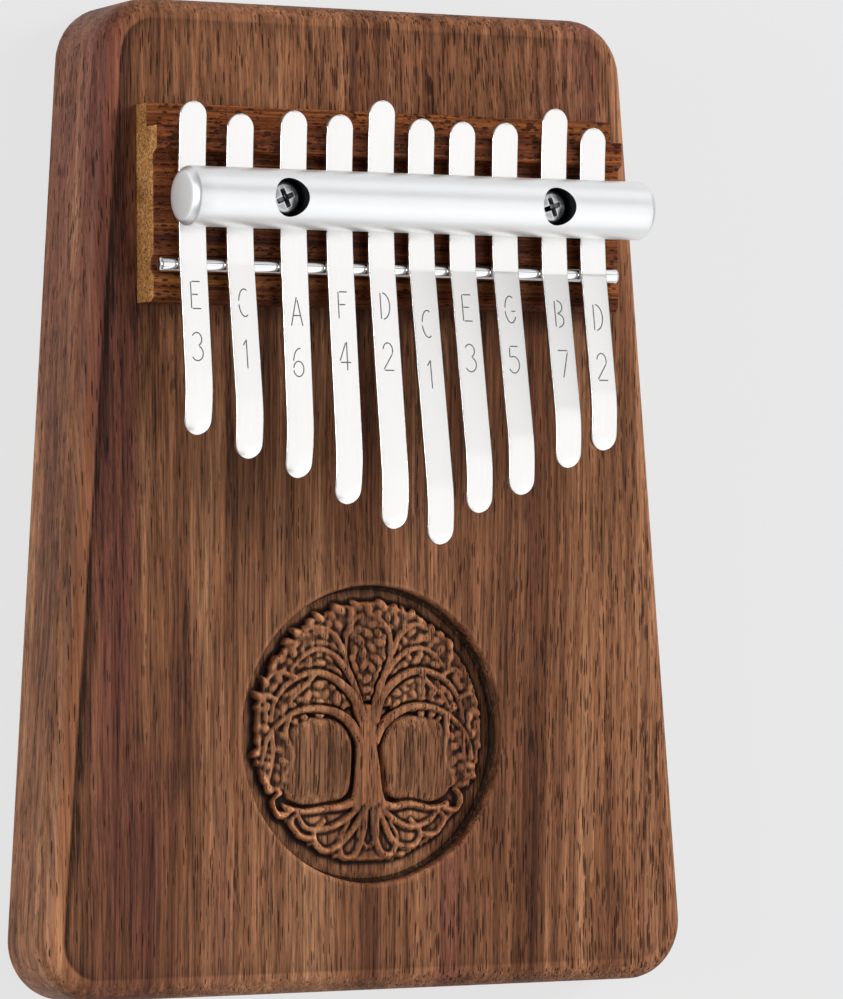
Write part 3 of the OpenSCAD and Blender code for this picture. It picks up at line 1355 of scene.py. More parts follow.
    def _join_floor(
        self, shell: Shell, crest: list[float], mesh: bpy.types.Mesh, face: Face, last: list[int]
    ) -> None:
        """Adds the carved floor inside the last ring, sharing its points.

        Args:
            shell: what it is added to.
            crest: how far each point stands proud, which is continued.
            mesh: the carved floor.
            face: the sloping face of the board.
            last: the point numbers of the last ring.
        """
        count = len(mesh.vertices)
        proud = np.zeros(count, np.float32)
        mesh.attributes["crest"].data.foreach_get("value", proud)
        first_outer = count - len(last)
        numbers = []
        for i, vertex in enumerate(mesh.vertices):
            if i >= first_outer:
                numbers.append(last[i - first_outer])
                continue
            x, y, z = vertex.co
            numbers.append(len(shell.points))
            shell.points.append(face.at(x / MM, self.recess_v + y / MM, -self.recess_deep + z / MM))
            # Painted shade over the recess floor, plus the carving's painted highlight and painted shade.
            shell.worn.append(self.floor_painted_shade + CarvedTree.painted_relief_light(x / MM, y / MM))
            crest.append(float(proud[i]))
        shell.faces += [tuple(numbers[v] for v in polygon.vertices) for polygon in mesh.polygons]


@dataclass
class Block:
    """The bridge block with its ledge, ridge, floor and groove."""

    long: float = 81.2
    middle_x: float = 0.4
    back_v: float = 58.7
    deep: float = 29.8
    floor_h: float = 5.5
    ridge_h: float = 6.8
    ridge_w: float = 3.5
    ledge_h: float = 3.4
    ledge_w: float = 3.5
    bevel: float = 0.8
    groove_d: float = 3.0
    edge: float = 0.22

    def build(self, face: Face, rod: Rod, screws: Screws) -> bpy.types.Object:
        """Builds the block with broken edges and the screws' clearance holes.

        Args:
            face: the board's face.
            rod: the rod that lies in the groove.
            screws: the screws that pass through.

        Returns:
            The block.
        """
        shell = Shell()
        outline = self._outline(rod)
        ends = [self.middle_x + side * self.long / 2 for side in (-1.0, 1.0)]
        rings = [shell.ring([face.at(x, v, w) for v, w in outline]) for x in ends]
        shell.loft(rings)
        shell.cap(rings[0], flip=True)
        shell.cap(rings[1])
        block = shell.build("bridge_block_body")
        cutters = [screws.hole(face, side, self.ridge_h + 2.0) for side in (-1.0, 1.0)]
        cut_from(block, cutters)
        soften = block.modifiers.new("edges", "BEVEL")
        soften.width = self.edge * MM
        soften.segments = 3
        soften.limit_method = "ANGLE"
        soften.angle_limit = math.radians(28.0)
        block = settled(block, 40.0)
        discard(cutters)
        self._dress(block)
        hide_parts("bridge_block")
        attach(block, INSTRUMENT)
        LOG.info("bridge block: %d faces", len(block.data.polygons))
        return block

    def _outline(self, rod: Rod) -> list[tuple[float, float]]:
        """The block's side view as (v, w) points, from the front foot over the top.

        Args:
            rod: the rod that lies in the block's groove.

        Returns:
            The points, in millimetres.
        """
        front = self.back_v - self.deep
        ridge_back = self.back_v - self.ledge_w
        ridge_front = ridge_back - self.ridge_w
        groove_r = self.groove_d / 2
        groove_w = rod.w - rod.thick / 2 + groove_r
        half = math.acos((groove_w - self.floor_h) / groove_r)
        groove = [
            (rod.v + groove_r * math.sin(a), groove_w - groove_r * math.cos(a))
            for a in np.linspace(-half, half, 25)
        ]
        return [
            (front, 0.0),
            (front, self.floor_h - self.bevel),
            (front + self.bevel, self.floor_h),
            *groove,
            (ridge_front - self.bevel, self.floor_h),
            (ridge_front, self.ridge_h),
            (ridge_back, self.ridge_h),
            (ridge_back, self.ledge_h),
            (self.back_v, self.ledge_h),
            (self.back_v, 0.0),
        ]

    @staticmethod
    def _dress(block: bpy.types.Object) -> None:
        """Gives the ends their end grain and the rest its long grain.

        Args:
            block: the finished block.
        """
        mesh = block.data
        mesh.materials.clear()
        mesh.materials.append(REDWOOD.material())
        mesh.materials.append(END_GRAIN.material())
        for polygon in mesh.polygons:
            polygon.material_index = 1 if abs(polygon.normal.x) > 0.9 else 0


# ---------------------------------------------------------------------------------------------
# Rod, bar and screws
# ---------------------------------------------------------------------------------------------


def turned(
    profile: Sequence[tuple[float, float]],
    sides: int,
    place: Matrix,
    shell: Shell,
    worn: Sequence[float] | None = None,
) -> None:
    """Turns a profile of (reach, along) points, in millimetres, into a closed shape about Z.

    Args:
        profile: the profile, from one end to the other, off the axis.
        sides: how many sides the turned shape has.
        place: where its frame goes, in metres.
        shell: the shell that it is added to.
        worn: the rubbing and painted light at each point of the profile.
    """
    angles = np.linspace(0.0, 2 * math.pi, sides, endpoint=False)
    rub_and_light = worn or [0.0] * len(profile)
    rings = []
    for (reach, along), value in zip(profile, rub_and_light):
        points = [
            place @ Vector((reach * MM * math.cos(a), reach * MM * math.sin(a), along * MM)) for a in angles
        ]
        rings.append(shell.ring([tuple(p) for p in points], value))
    shell.loft(rings)
    shell.cap(rings[0], flip=True)
    shell.cap(rings[-1])


@dataclass
class Rod:
    """The polished rod under the tines."""

    thick: float = 2.4
    long: float = 80.0
    middle_x: float = 0.4
    v: float = 34.5
    w: float = 0.0
    dome: float = 0.5

    @classmethod
    def of(cls, face: Face, frame: dict[str, Any]) -> Rod:
        """Reads the rod's place from the axis that the tongues swing on.

        Args:
            face: the sloping face of the board.

        Returns:
            The rod.
        """
        axis = next(joint for joint in frame["joints"] if joint["type"] == "hinge")["pos_m"]
        down = face.matrix(0.0, 0.0).inverted() @ Vector(axis)
        return cls(v=down.y / MM, w=down.z / MM)

    def build(self, face: Face) -> bpy.types.Object:
        """Builds the rod with rounded ends.

        Args:
            face: the board's face.

        Returns:
            The rod.
        """
        r, half = self.thick / 2, self.long / 2
        end = [(r - self.dome * (1 - math.cos(a)), half - self.dome * (1 - math.sin(a))) for a in quarter(6)]
        face_rings = [(r - self.dome - 0.15, half + 0.0), (0.05, half)]
        right = end + face_rings
        left = [(reach, -along) for reach, along in reversed(right)]
        place = face.matrix(self.v, self.w) @ Matrix.Translation((self.middle_x * MM, 0, 0))
        place = place @ Matrix.Rotation(math.pi / 2, 4, "Y")
        shell = Shell()
        turned(left + [(r, -half + 2.0), (r, half - 2.0)] + right, 64, place, shell)
        rod = shell.build("rod_bridge_body")
        rod.data.materials.append(POLISHED.material())
        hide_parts("rod_bridge")
        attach(rod, INSTRUMENT)
        LOG.info("rod: %d faces", len(rod.data.polygons))
        return rod


@dataclass
class Screws:
    """The two pan head screws with crossed slots."""

    gap: float = 46.4
    middle_x: float = 0.6
    v: float = 44.3
    seat_w: float = 12.417
    shank_d: float = 2.9
    core_d: float = 2.1
    pitch: float = 1.15
    long: float = 21.0
    plain: float = 6.0
    point: float = 2.6
    head_d: float = 5.2
    head_h: float = 1.9
    slot_w: float = 0.82
    slot_long: float = 3.3
    slot_deep: float = 1.35
    turn_deg: tuple[float, float] = (24.0, 20.0)
    clearance: float = 0.05

    def place(self, face: Face, side: float) -> Matrix:
        """The frame of one screw, its seat at the origin."""
        x = self.middle_x + side * self.gap / 2
        return face.matrix(self.v, self.seat_w) @ Matrix.Translation((x * MM, 0, 0))

    def hole(self, face: Face, side: float, top: float) -> bpy.types.Object:
        """A round cutter for the clearance hole through what lies under the bar.

        Args:
            face: the sloping face of the board.
            side: -1 for the left screw, 1 for the right.
            top: how far up the cutter reaches.

        Returns:
            The cutter.
        """
        r = self.shank_d / 2 + self.clearance
        shell = Shell()
        place = self.place(face, side) @ Matrix.Translation((0, 0, -self.seat_w * MM))
        turned([(r, -2.0), (r, top)], 40, place, shell)
        return shell.build("screw_hole")

    def build(self, face: Face) -> list[bpy.types.Object]:
        """Builds both screws.

        Args:
            face: the board's face.

        Returns:
            The left and the right screw.
        """
        finish = DARK_ZINC.material()
        made = []
        for side, name, turn in zip((-1.0, 1.0), ("screw_left", "screw_right"), self.turn_deg):
            place = self.place(face, side) @ Matrix.Rotation(math.radians(turn), 4, "Z")
            head = self._head(name + "_body", place)
            self._rub_and_highlights(head, place)
            head.data.materials.clear()
            head.data.materials.append(finish)
            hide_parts(name)
            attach(head, INSTRUMENT)
            LOG.info("%s: %d faces", name, len(head.data.polygons))
            made.append(head)
        return made

    def _head(self, name: str, place: Matrix) -> bpy.types.Object:
        """The domed head with its cross cut in, and the threaded shank.

        Args:
            name: the name of the screw.
            place: the place and turn of the screw, in metres.

        Returns:
            The whole screw.
        """
        r, h = self.head_d / 2, self.head_h
        dome = [(r - 0.75 * (1 - math.cos(a)), h - 0.75 * (1 - math.sin(a)) - 0.12) for a in quarter(8)]
        top = [(r * 0.62, h - 0.05), (r * 0.45, h - 0.02), (r * 0.2, h), (0.05, h)]
        neck = [(self.shank_d / 2, -0.3), (self.shank_d / 2, 0.0), (r - 0.12, 0.0), (r, 0.12)]
        shell = Shell()
        turned(neck + dome + top, 96, place, shell)
        head = shell.build(name)
        cutters = [self._slot(place, turn) for turn in (0.0, math.pi / 2)]
        cut_from(head, cutters)
        soften = head.modifiers.new("edges", "BEVEL")
        soften.width = 0.07 * MM
        soften.segments = 2
        soften.limit_method = "ANGLE"
        soften.angle_limit = math.radians(35.0)
        head = settled(head)
        discard(cutters)
        return self._with_thread(head, place)

    def _slot(self, place: Matrix, turn: float) -> bpy.types.Object:
        """One arm of the cross: a cutter that narrows as it goes down.

        Args:
            place: the place and turn of the screw, in metres.
            turn: how far the arm is turned about the screw.

        Returns:
            The cutter.
        """
        shell = Shell()
        top, bottom = self.head_h + 0.6, self.head_h - self.slot_deep
        rings = []
        for z, share in ((bottom, 0.45), (top, 1.12)):
            x, y = self.slot_long / 2 * share, self.slot_w / 2 * (0.7 + 0.3 * share)
            corners = [(-x, -y), (x, -y), (x, y), (-x, y)]
            spin = place @ Matrix.Rotation(turn, 4, "Z")
            rings.append(shell.ring([tuple(spin @ Vector((a * MM, b * MM, z * MM))) for a, b in corners]))
        shell.loft(rings)
        shell.cap(rings[0], flip=True)
        shell.cap(rings[1])
        return shell.build("slot_cutter")

    def _with_thread(self, head: bpy.types.Object, place: Matrix) -> bpy.types.Object:
        """Joins the head to a shank whose thread winds round it.

        Args:
            head: the finished head.
            place: the place and turn of the screw, in metres.

        Returns:
            The whole screw.
        """
        shell = Shell()
        sides = 28
        rows = []
        depths = np.linspace(-self.long, -0.1, int(self.long / self.pitch * 9))
        for z in depths:
            taper = min(1.0, (z + self.long) / self.point + 0.03)
            ring = []
            for k in range(sides):
                turn = 2 * math.pi * k / sides
                phase = (z / self.pitch - k / sides) % 1.0
                crest = max(0.0, 1.0 - abs(phase - 0.5) * 4.0)
                thread = self.core_d / 2 + (self.shank_d - self.core_d) / 2 * crest
                reach = (self.shank_d / 2 if z > -self.plain else thread) * taper
                point = Vector((reach * MM * math.cos(turn), reach * MM * math.sin(turn), z * MM))
                ring.append(tuple(place @ point))
            rows.append(shell.ring(ring))
        shell.loft(rows)
        shell.cap(rows[0], flip=True)
        shell.cap(rows[-1])
        shank = shell.build("shank")
        name = head.name
        merged = Shell()
        for part in (head, shank):
            base = len(merged.points)
            merged.ring([tuple(vertex.co) for vertex in part.data.vertices])
            merged.faces += [tuple(base + v for v in polygon.vertices) for polygon in part.data.polygons]
        discard([head, shank])
        return merged.build(name)

    def _rub_and_highlights(self, head: bpy.types.Object, place: Matrix) -> None:
        """Marks bright metal on the head: a painted highlight on its top and rim, and rubbing along the edges
        of the cross.

        Args:
            head: the head.
            place: the place and turn of the screw, in metres.
        """
        back = place.inverted()
        values = []
        for vertex in head.data.vertices:
            x, y, z = (back @ vertex.co) / MM
            reach = math.hypot(x, y)
            near_top = z > self.head_h - 0.3
            near_slot = min(abs(abs(x) - self.slot_w / 2), abs(abs(y) - self.slot_w / 2)) < 0.14
            near_rim = abs(reach - self.head_d / 2 + 0.5) < 0.3 and z > self.head_h - 0.8
            # Painted highlight on the top and rim of the head; rubbing along the cross's edges at the top.
            values.append(0.85 if near_top and near_slot else 0.7 if near_rim else 0.35 if near_top else 0.0)
        head.data.attributes["worn"].data.foreach_set("value", np.array(values, np.float32))


@dataclass
class PressureBar:
    """The round bar that holds the tines down."""

    thick: float = 9.0
    long: float = 80.4
    middle_x: float = 1.4
    w: float = 12.017
    bevel: float = 0.8
    sides: int = 256
    bore_d: float = 5.8

    def build(self, face: Face, screws: Screws) -> bpy.types.Object:
        """Builds the bar with its two stepped holes.

        Args:
            face: the board's face.
            screws: the screws that sit in the holes.

        Returns:
            The bar.
        """
        r, half = self.thick / 2, self.long / 2
        soft = self.bevel * 0.4
        edge = [
            (r, half - self.bevel - 3.0),
            (r, half - self.bevel - soft),
            (r - 0.04, half - self.bevel - soft * 0.4),
            (r - soft * 0.45, half - self.bevel + soft * 0.3),
            (r - self.bevel + soft * 0.5, half - soft * 0.55),
            (r - self.bevel - soft * 0.1, half - soft * 0.12),
            (r - self.bevel - soft * 0.8, half),
            (r - self.bevel - 0.8, half),
            (0.05, half),
        ]
        place = face.matrix(screws.v, self.w) @ Matrix.Translation((self.middle_x * MM, 0, 0))
        place = place @ Matrix.Rotation(math.pi / 2, 4, "Y")
        shell = Shell()
        turned([(reach, -along) for reach, along in reversed(edge)] + edge, self.sides, place, shell)
        bar = shell.build("pressure_bar_body", 30.0)
        bar.data.materials.append(SATIN_BAR.material())
        bores = [self._bore(face, screws, side) for side in (-1.0, 1.0)]
        cut_from(bar, bores)
        bar = settled(bar, 30.0)
        discard(bores)
        self._dress(bar, face, screws)
        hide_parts("pressure_bar")
        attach(bar, INSTRUMENT)
        LOG.info("pressure bar: %d faces", len(bar.data.polygons))
        return bar

    def _bore(self, face: Face, screws: Screws, side: float) -> bpy.types.Object:
        """The stepped cutter of one screw hole.

        Args:
            face: the sloping face of the board.
            screws: the screws that the holes are for.
            side: -1 for the left hole, 1 for the right.

        Returns:
            The cutter.
        """
        shank = screws.shank_d / 2 + screws.clearance
        wide = self.bore_d / 2
        shell = Shell()
        profile = [(shank, -self.thick * 1.5), (shank, 0.0), (wide, 0.0), (wide, self.thick)]
        turned(profile, 96, screws.place(face, side), shell)
        return shell.build("bore_cutter")

    def _dress(self, bar: bpy.types.Object, face: Face, screws: Screws) -> None:
        """Gives the walls of the holes a near-black metal as painted shade.

        Args:
            bar: the finished bar.
            face: the sloping face of the board.
            screws: the screws that the holes are for.
        """
        dark = PAINTED_BORE_SHADE.material()
        if dark.name not in [m.name for m in bar.data.materials if m]:
            bar.data.materials.append(dark)
        number = len(bar.data.materials) - 1
        middles = [screws.place(face, side).inverted() for side in (-1.0, 1.0)]
        for polygon in bar.data.polygons:
            for back in middles:
                x, y, z = (back @ polygon.center) / MM
                if math.hypot(x, y) < self.bore_d / 2 + 0.02 and z < self.thick:
                    polygon.material_index = number


# ---------------------------------------------------------------------------------------------
# Tines
# ---------------------------------------------------------------------------------------------


@dataclass(frozen=True)
class Letters:
    """Plain stroke letters and figures in a box one unit wide and one high."""

    @staticmethod
    def arc(x: float, y: float, rx: float, ry: float, start: float, end: float) -> list[tuple[float, float]]:
        """Part of an ellipse, with its angles in degrees.

        Args:
            x: the middle, across.
            y: the middle, upwards.
            rx: half the width.
            ry: half the height.
            start: the first angle.
            end: the last angle.

        Returns:
            The points of the arc.
        """
        return [
            (x + rx * math.cos(math.radians(a)), y + ry * math.sin(math.radians(a)))
            for a in np.linspace(start, end, 13)
        ]

    def strokes(self, sign: str) -> list[list[tuple[float, float]]]:
        """The strokes of one letter or figure.

        Args:
            sign: the letter or figure.

        Returns:
            Each stroke's points.
        """
        arc = self.arc
        stem = [(0.18, 0.04), (0.18, 0.96)]
        table = {
            "A": [[(0.08, 0.0), (0.5, 1.0)], [(0.56, 0.9), (0.92, 0.0)], [(0.28, 0.36), (0.74, 0.36)]],
            "B": [stem, arc(0.3, 0.75, 0.45, 0.23, 80, -80), arc(0.3, 0.26, 0.52, 0.25, 80, -80)],
            "C": [arc(0.55, 0.5, 0.42, 0.48, 62, 172), arc(0.55, 0.5, 0.42, 0.48, 188, 298)],
            "D": [stem, arc(0.3, 0.5, 0.56, 0.47, 84, -84)],
            "E": [
                stem,
                [(0.26, 0.97), (0.84, 0.97)],
                [(0.26, 0.52), (0.66, 0.52)],
                [(0.26, 0.03), (0.86, 0.03)],
            ],
            "F": [stem, [(0.26, 0.97), (0.84, 0.97)], [(0.26, 0.52), (0.68, 0.52)]],
            "G": [
                arc(0.55, 0.5, 0.42, 0.48, 60, 172),
                arc(0.55, 0.5, 0.42, 0.48, 188, 326),
                [(0.6, 0.44), (0.92, 0.44)],
            ],
            "1": [[(0.5, 0.0), (0.5, 1.0)], [(0.45, 0.96), (0.26, 0.8)]],
            "2": [
                arc(0.5, 0.72, 0.36, 0.27, 170, -20),
                [(0.82, 0.6), (0.14, 0.06)],
                [(0.2, 0.02), (0.88, 0.02)],
            ],
            "3": [arc(0.44, 0.76, 0.36, 0.23, 150, -70), arc(0.44, 0.27, 0.42, 0.26, 68, -150)],
            "4": [[(0.64, 0.0), (0.64, 1.0)], [(0.56, 0.96), (0.1, 0.34)], [(0.14, 0.28), (0.9, 0.28)]],
            "5": [
                [(0.24, 0.97), (0.82, 0.97)],
                [(0.2, 0.92), (0.18, 0.58)],
                arc(0.44, 0.31, 0.42, 0.3, 118, -150),
            ],
            "6": [arc(0.62, 0.5, 0.48, 0.5, 84, 172), arc(0.5, 0.28, 0.38, 0.27, -170, 172)],
            "7": [[(0.12, 0.97), (0.86, 0.97)], [(0.84, 0.9), (0.4, 0.0)]],
        }
        return table[sign]


@dataclass(frozen=True)
class TineShape:
    """The side view of one tine as a line with its direction, in the face's frame."""

    rod_v: float
    rod_w: float
    rise: float
    tongue: float
    tail_v: float
    thick: float
    contact: float
    bow_r: float
    bow_v: float
    tip_len: float
    tip_turn: float

    def sample(self) -> tuple[np.ndarray, np.ndarray]:
        """Follows the middle of the strip from its tail to its tip.

        Returns:
            The points (v, w), and the slope at each in radians, positive where it climbs to the tip.
        """
        half = self.thick / 2
        mid_r = self.bow_r - half
        lever = abs(self.bow_v - self.rod_v)
        rest = math.asin(lever / (self.bow_r + self.contact))
        bow_w = self.rod_w + (self.bow_r + self.contact) * math.cos(rest)
        points: list[tuple[float, float]] = []
        slopes: list[float] = []
        tail = math.asin((self.tail_v - self.bow_v) / mid_r)
        for a in np.linspace(tail, -rest, 90):
            points.append((self.bow_v + mid_r * math.sin(a), bow_w - mid_r * math.cos(a)))
            slopes.append(-a)
        over = self.contact + half
        for a in np.linspace(rest, self.rise, 8)[1:]:
            points.append((self.rod_v + over * math.sin(a), self.rod_w + over * math.cos(a)))
            slopes.append(a)
        run = self.tongue - self.tip_len
        cos_r, sin_r = math.cos(self.rise), math.sin(self.rise)

        def local(along: float, up: float) -> tuple[float, float]:
            """A point of the tongue's own frame in the face's frame."""
            return (self.rod_v - along * cos_r + up * sin_r, self.rod_w + along * sin_r + up * cos_r)

        for along in np.linspace(0.0, run, 60)[1:]:
            points.append(local(along, over))
            slopes.append(self.rise)
        top_r = self.tip_len / math.sin(self.tip_turn)
        tip_r = top_r - half
        last = math.asin(min(1.0, self.tip_len / tip_r))
        for a in np.linspace(0.0, last, 40)[1:]:
            points.append(local(run + tip_r * math.sin(a), over - tip_r * (1 - math.cos(a))))
            slopes.append(self.rise - a)
        return np.array(points), np.array(slopes)


@dataclass
class Tines:
    """The ten tines, each one strip from tail to tip."""

    notes: tuple[int, ...] = (16, 12, 9, 5, 2, 0, 4, 7, 11, 14)
    tails: tuple[float, ...] = (3.6, 2.0, 2.8, 2.5, 4.9, 2.4, 2.2, 2.3, 4.8, 2.1)
    trims: tuple[float, ...] = (0, 0.2, 0, -0.2, 0.2, 0.3, 0.3, 0.8, 0.5, 0.3)
    rises: tuple[float, ...] = (5.4, 7.0, 3.9, 5.1, 6.8, 8.8, 9.0, 9.4, 9.4, 8.4)
    letters: str = "ECAFDCEGBD"
    figures: str = "3164213572"
    wide: float = 4.5
    thick: float = 0.8
    edge: float = 0.14
    longest: float = 41.8
    clamp_reach: float = 2.5
    ridge_back_v: float = 55.2
    bow_r: float = 150.0
    rest_gap: float = 0.08
    tip_len: float = 9.0
    tip_turn_deg: float = 21.0
    bend: float = 2.5
    stamp_shifts: tuple[float, ...] = (2.1, 1.1, 0.0, 1.1, 1.1, -1.5, 1.1, 1.0, 0.5, 0.1)
    letter_from_rod: float = 8.9
    figure_from_rod: float = 16.6
    sign_high: float = 4.3
    sign_wide: float = 2.3
    line_wide: float = 0.27
    line_proud: float = 0.05

    def shape(self, index: int, rod: Rod, bar_v: float) -> TineShape:
        """The side view of one tine.

        Args:
            index: which tine, from 0 at the left.
            rod: the rod it bears on.
            bar_v: where the bar lies.

        Returns:
            The side view.
        """
        reach = self.longest + self.clamp_reach
        tongue = reach * 2 ** (-self.notes[index] / 24) - self.clamp_reach + self.trims[index]
        return TineShape(
            rod_v=rod.v,
            rod_w=rod.w,
            rise=math.radians(self.rises[index]),
            tongue=tongue,
            tail_v=self.ridge_back_v + self.tails[index],
            thick=self.thick,
            contact=rod.thick / 2 + self.rest_gap,
            bow_r=self.bow_r,
            bow_v=bar_v,
            tip_len=self.tip_len,
            tip_turn=math.radians(self.tip_turn_deg),
        )

    def build(self, face: Face, rod: Rod, screws: Screws) -> None:
        """Builds each tine and its stamped note.

        Args:
            face: the board's face.
            rod: the rod that the tines bear on.
            screws: the screws, whose line is the bar's.
        """
        nickel, stamp = NICKEL.material(), STAMP.material()
        engraving = self._engraving()
        for index in range(len(self.notes)):
            number = index + 1
            low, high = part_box(f"tine_{number}_root")
            x = (low.x + high.x) / 2 / MM
            shape = self.shape(index, rod, screws.v)
            points, slopes = shape.sample()
            tine = self._strip(f"tine_{number}", face, x, points, slopes)
            tine.data.materials.append(nickel)
            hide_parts(f"tine_{number}_root", f"tine_{number}_tongue")
            start = face.at(x, rod.v + self.bend, rod.w)
            end = face.at(x, rod.v - self.bend, rod.w)
            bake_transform(tine)
            mark = self._stamp(index, face, x, shape, engraving, stamp)
            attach(mark, f"tongue_{number}")
            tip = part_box(f"tine_{number}_tongue")[0].y
            LOG.info("tine %d: tip %.2f mm off its solid's", number, (face.at(0, *points[-1])[1] - tip) / MM)

    def _half_width(self, ahead: float, behind: float) -> float:
        """Half the strip's width at distances from its two round ends.

        Args:
            ahead: how far it is to the tip.
            behind: how far it is to the tail.

        Returns:
            Half the width.
        """
        r = self.wide / 2
        near = min(ahead, behind, r)
        return math.sqrt(max(r * r - (r - near) ** 2, 0.0))

    def _strip(
        self, name: str, face: Face, x: float, points: np.ndarray, slopes: np.ndarray
    ) -> bpy.types.Object:
        """Lofts the rounded section of a tine along its line.

        Args:
            name: the name of the piece.
            face: the sloping face of the board.
            x: where the tine lies across the face.
            points: its line.
            slopes: the slope at each point of the line.

        Returns:
            The strip.
        """
        steps = np.linalg.norm(np.diff(points, axis=0), axis=1)
        along = np.concatenate([[0.0], np.cumsum(steps)])
        total = along[-1]
        r = self.wide / 2
        round_end = r * (1 - np.cos(np.linspace(0.06, math.pi / 2, 16)))
        middle = np.linspace(r, total - r, 120)[1:-1]
        stations = np.concatenate([round_end, middle, total - round_end[::-1]])
        shell = Shell()
        rings = []
        for s in stations:
            v, w = (np.interp(s, along, points[:, k]) for k in (0, 1))
            slope = np.interp(s, along, slopes)
            half = self._half_width(s, total - s)
            ring = []
            for across, up in self._section(half):
                ring.append(face.at(x + across, v + up * math.sin(slope), w + up * math.cos(slope)))
            rings.append(shell.ring(ring))
        shell.loft(rings)
        shell.cap(rings[0], flip=True)
        shell.cap(rings[-1])
        return shell.build(name, 50.0)

    def _section(self, half: float) -> list[tuple[float, float]]:
        """The strip's cross-section with its four edges rounded, at half a width.

        Args:
            half: half the width.

        Returns:
            The points of the section.
        """
        edge = min(self.edge, half * 0.5)
        flat, up = half - edge, self.thick / 2 - edge
        points = []
        for side, level, start in ((1, 1, 0.0), (-1, 1, 90.0), (-1, -1, 180.0), (1, -1, 270.0)):
            for a in np.linspace(start, start + 90.0, 5):
                turn = math.radians(a)
                points.append((side * flat + edge * math.cos(turn), level * up + edge * math.sin(turn)))
        return points

    def _stamp(
        self,
        index: int,
        face: Face,
        x: float,
        shape: TineShape,
        tree: bpy.types.NodeTree,
        ink: bpy.types.Material,
    ) -> bpy.types.Object:
        """The letter and the figure of a tine's note, as fine lines in its upper side.

        Args:
            index: which tine, from 0 at the left.
            face: the sloping face of the board.
            x: where the tine lies across the face.
            shape: its side view.
            tree: the geometry tree that makes the lines.
            ink: the material of the lines.

        Returns:
            The lines, as one object.
        """
        points, slopes = shape.sample()
        ahead = shape.rod_v - points[:, 0]
        curve = bpy.data.curves.new(f"stamp_{index + 1}", "CURVE")
        curve.dimensions = "3D"
        level = self.thick / 2 + self.line_proud - self.line_wide / 2
        signs = ((self.letters[index], self.letter_from_rod), (self.figures[index], self.figure_from_rod))
        for sign, foot in signs:
            for stroke in Letters().strokes(sign):
                spline = curve.splines.new("POLY")
                path = self._divided(stroke)
                spline.points.add(len(path) - 1)
                for point, (a, b) in zip(spline.points, path):
                    away = foot - self.stamp_shifts[index] - b * self.sign_high
                    v, w = shape.rod_v - away, np.interp(away, ahead, points[:, 1])
                    slope = np.interp(away, ahead, slopes)
                    across = (a - 0.5) * self.sign_wide
                    place = face.at(x + across, v + level * math.sin(slope), w + level * math.cos(slope))
                    point.co = (*place, 1.0)
        holder = bpy.data.objects.new(f"tine_{index + 1}_note", curve)
        bpy.context.scene.collection.objects.link(holder)
        draw = holder.modifiers.new("engrave", "NODES")
        draw.node_group = tree
        fill_inputs(draw, {"Line Width": self.line_wide * MM, "Line Material": ink})
        return settled(holder)

    @staticmethod
    def _divided(stroke: Sequence[tuple[float, float]]) -> list[tuple[float, float]]:
        """A stroke with points close enough to follow the tine's bend.

        Args:
            stroke: the points of a stroke.

        Returns:
            The same stroke with more points.
        """
        path = [stroke[0]]
        for start, end in zip(stroke, stroke[1:]):
            parts = max(1, int(math.dist(start, end) / 0.12))
            for k in range(1, parts + 1):
                share = k / parts
                path.append((start[0] + (end[0] - start[0]) * share, start[1] + (end[1] - start[1]) * share))
        return path

    @staticmethod
    def _engraving() -> bpy.types.NodeTree:
        """The geometry tree that turns drawn strokes into fine round lines.

        Returns:
            The tree, ready for a modifier.
        """
        tree = bpy.data.node_groups.new("engrave", "GeometryNodeTree")
        graph = Graph(tree)
        graph.entry("Geometry", "NodeSocketGeometry")
        graph.entry("Line Width", "NodeSocketFloat")
        graph.entry("Line Material", "NodeSocketMaterial")
        tree.interface.new_socket(name="Geometry", in_out="OUTPUT", socket_type="NodeSocketGeometry")
        given = graph.node("NodeGroupInput").outputs
        half = Value(graph, given["Line Width"]) * 0.5
        ring = graph.node("GeometryNodeCurvePrimitiveCircle", sockets={"Resolution": 8, "Radius": half})
        lines = graph.node(
            "GeometryNodeCurveToMesh",
            sockets={"Curve": given["Geometry"], "Profile Curve": ring.outputs["Curve"], "Fill Caps": True},
        )
        solid = graph.node("GeometryNodeRealizeInstances", sockets={0: lines.outputs[0]})
        inked = graph.node(
            "GeometryNodeSetMaterial",
            sockets={"Geometry": solid.outputs[0], "Material": given["Line Material"]},
        )
        graph.node("NodeGroupOutput", sockets={0: inked.outputs[0]})
        return tree


# ---------------------------------------------------------------------------------------------
# Stage
# ---------------------------------------------------------------------------------------------


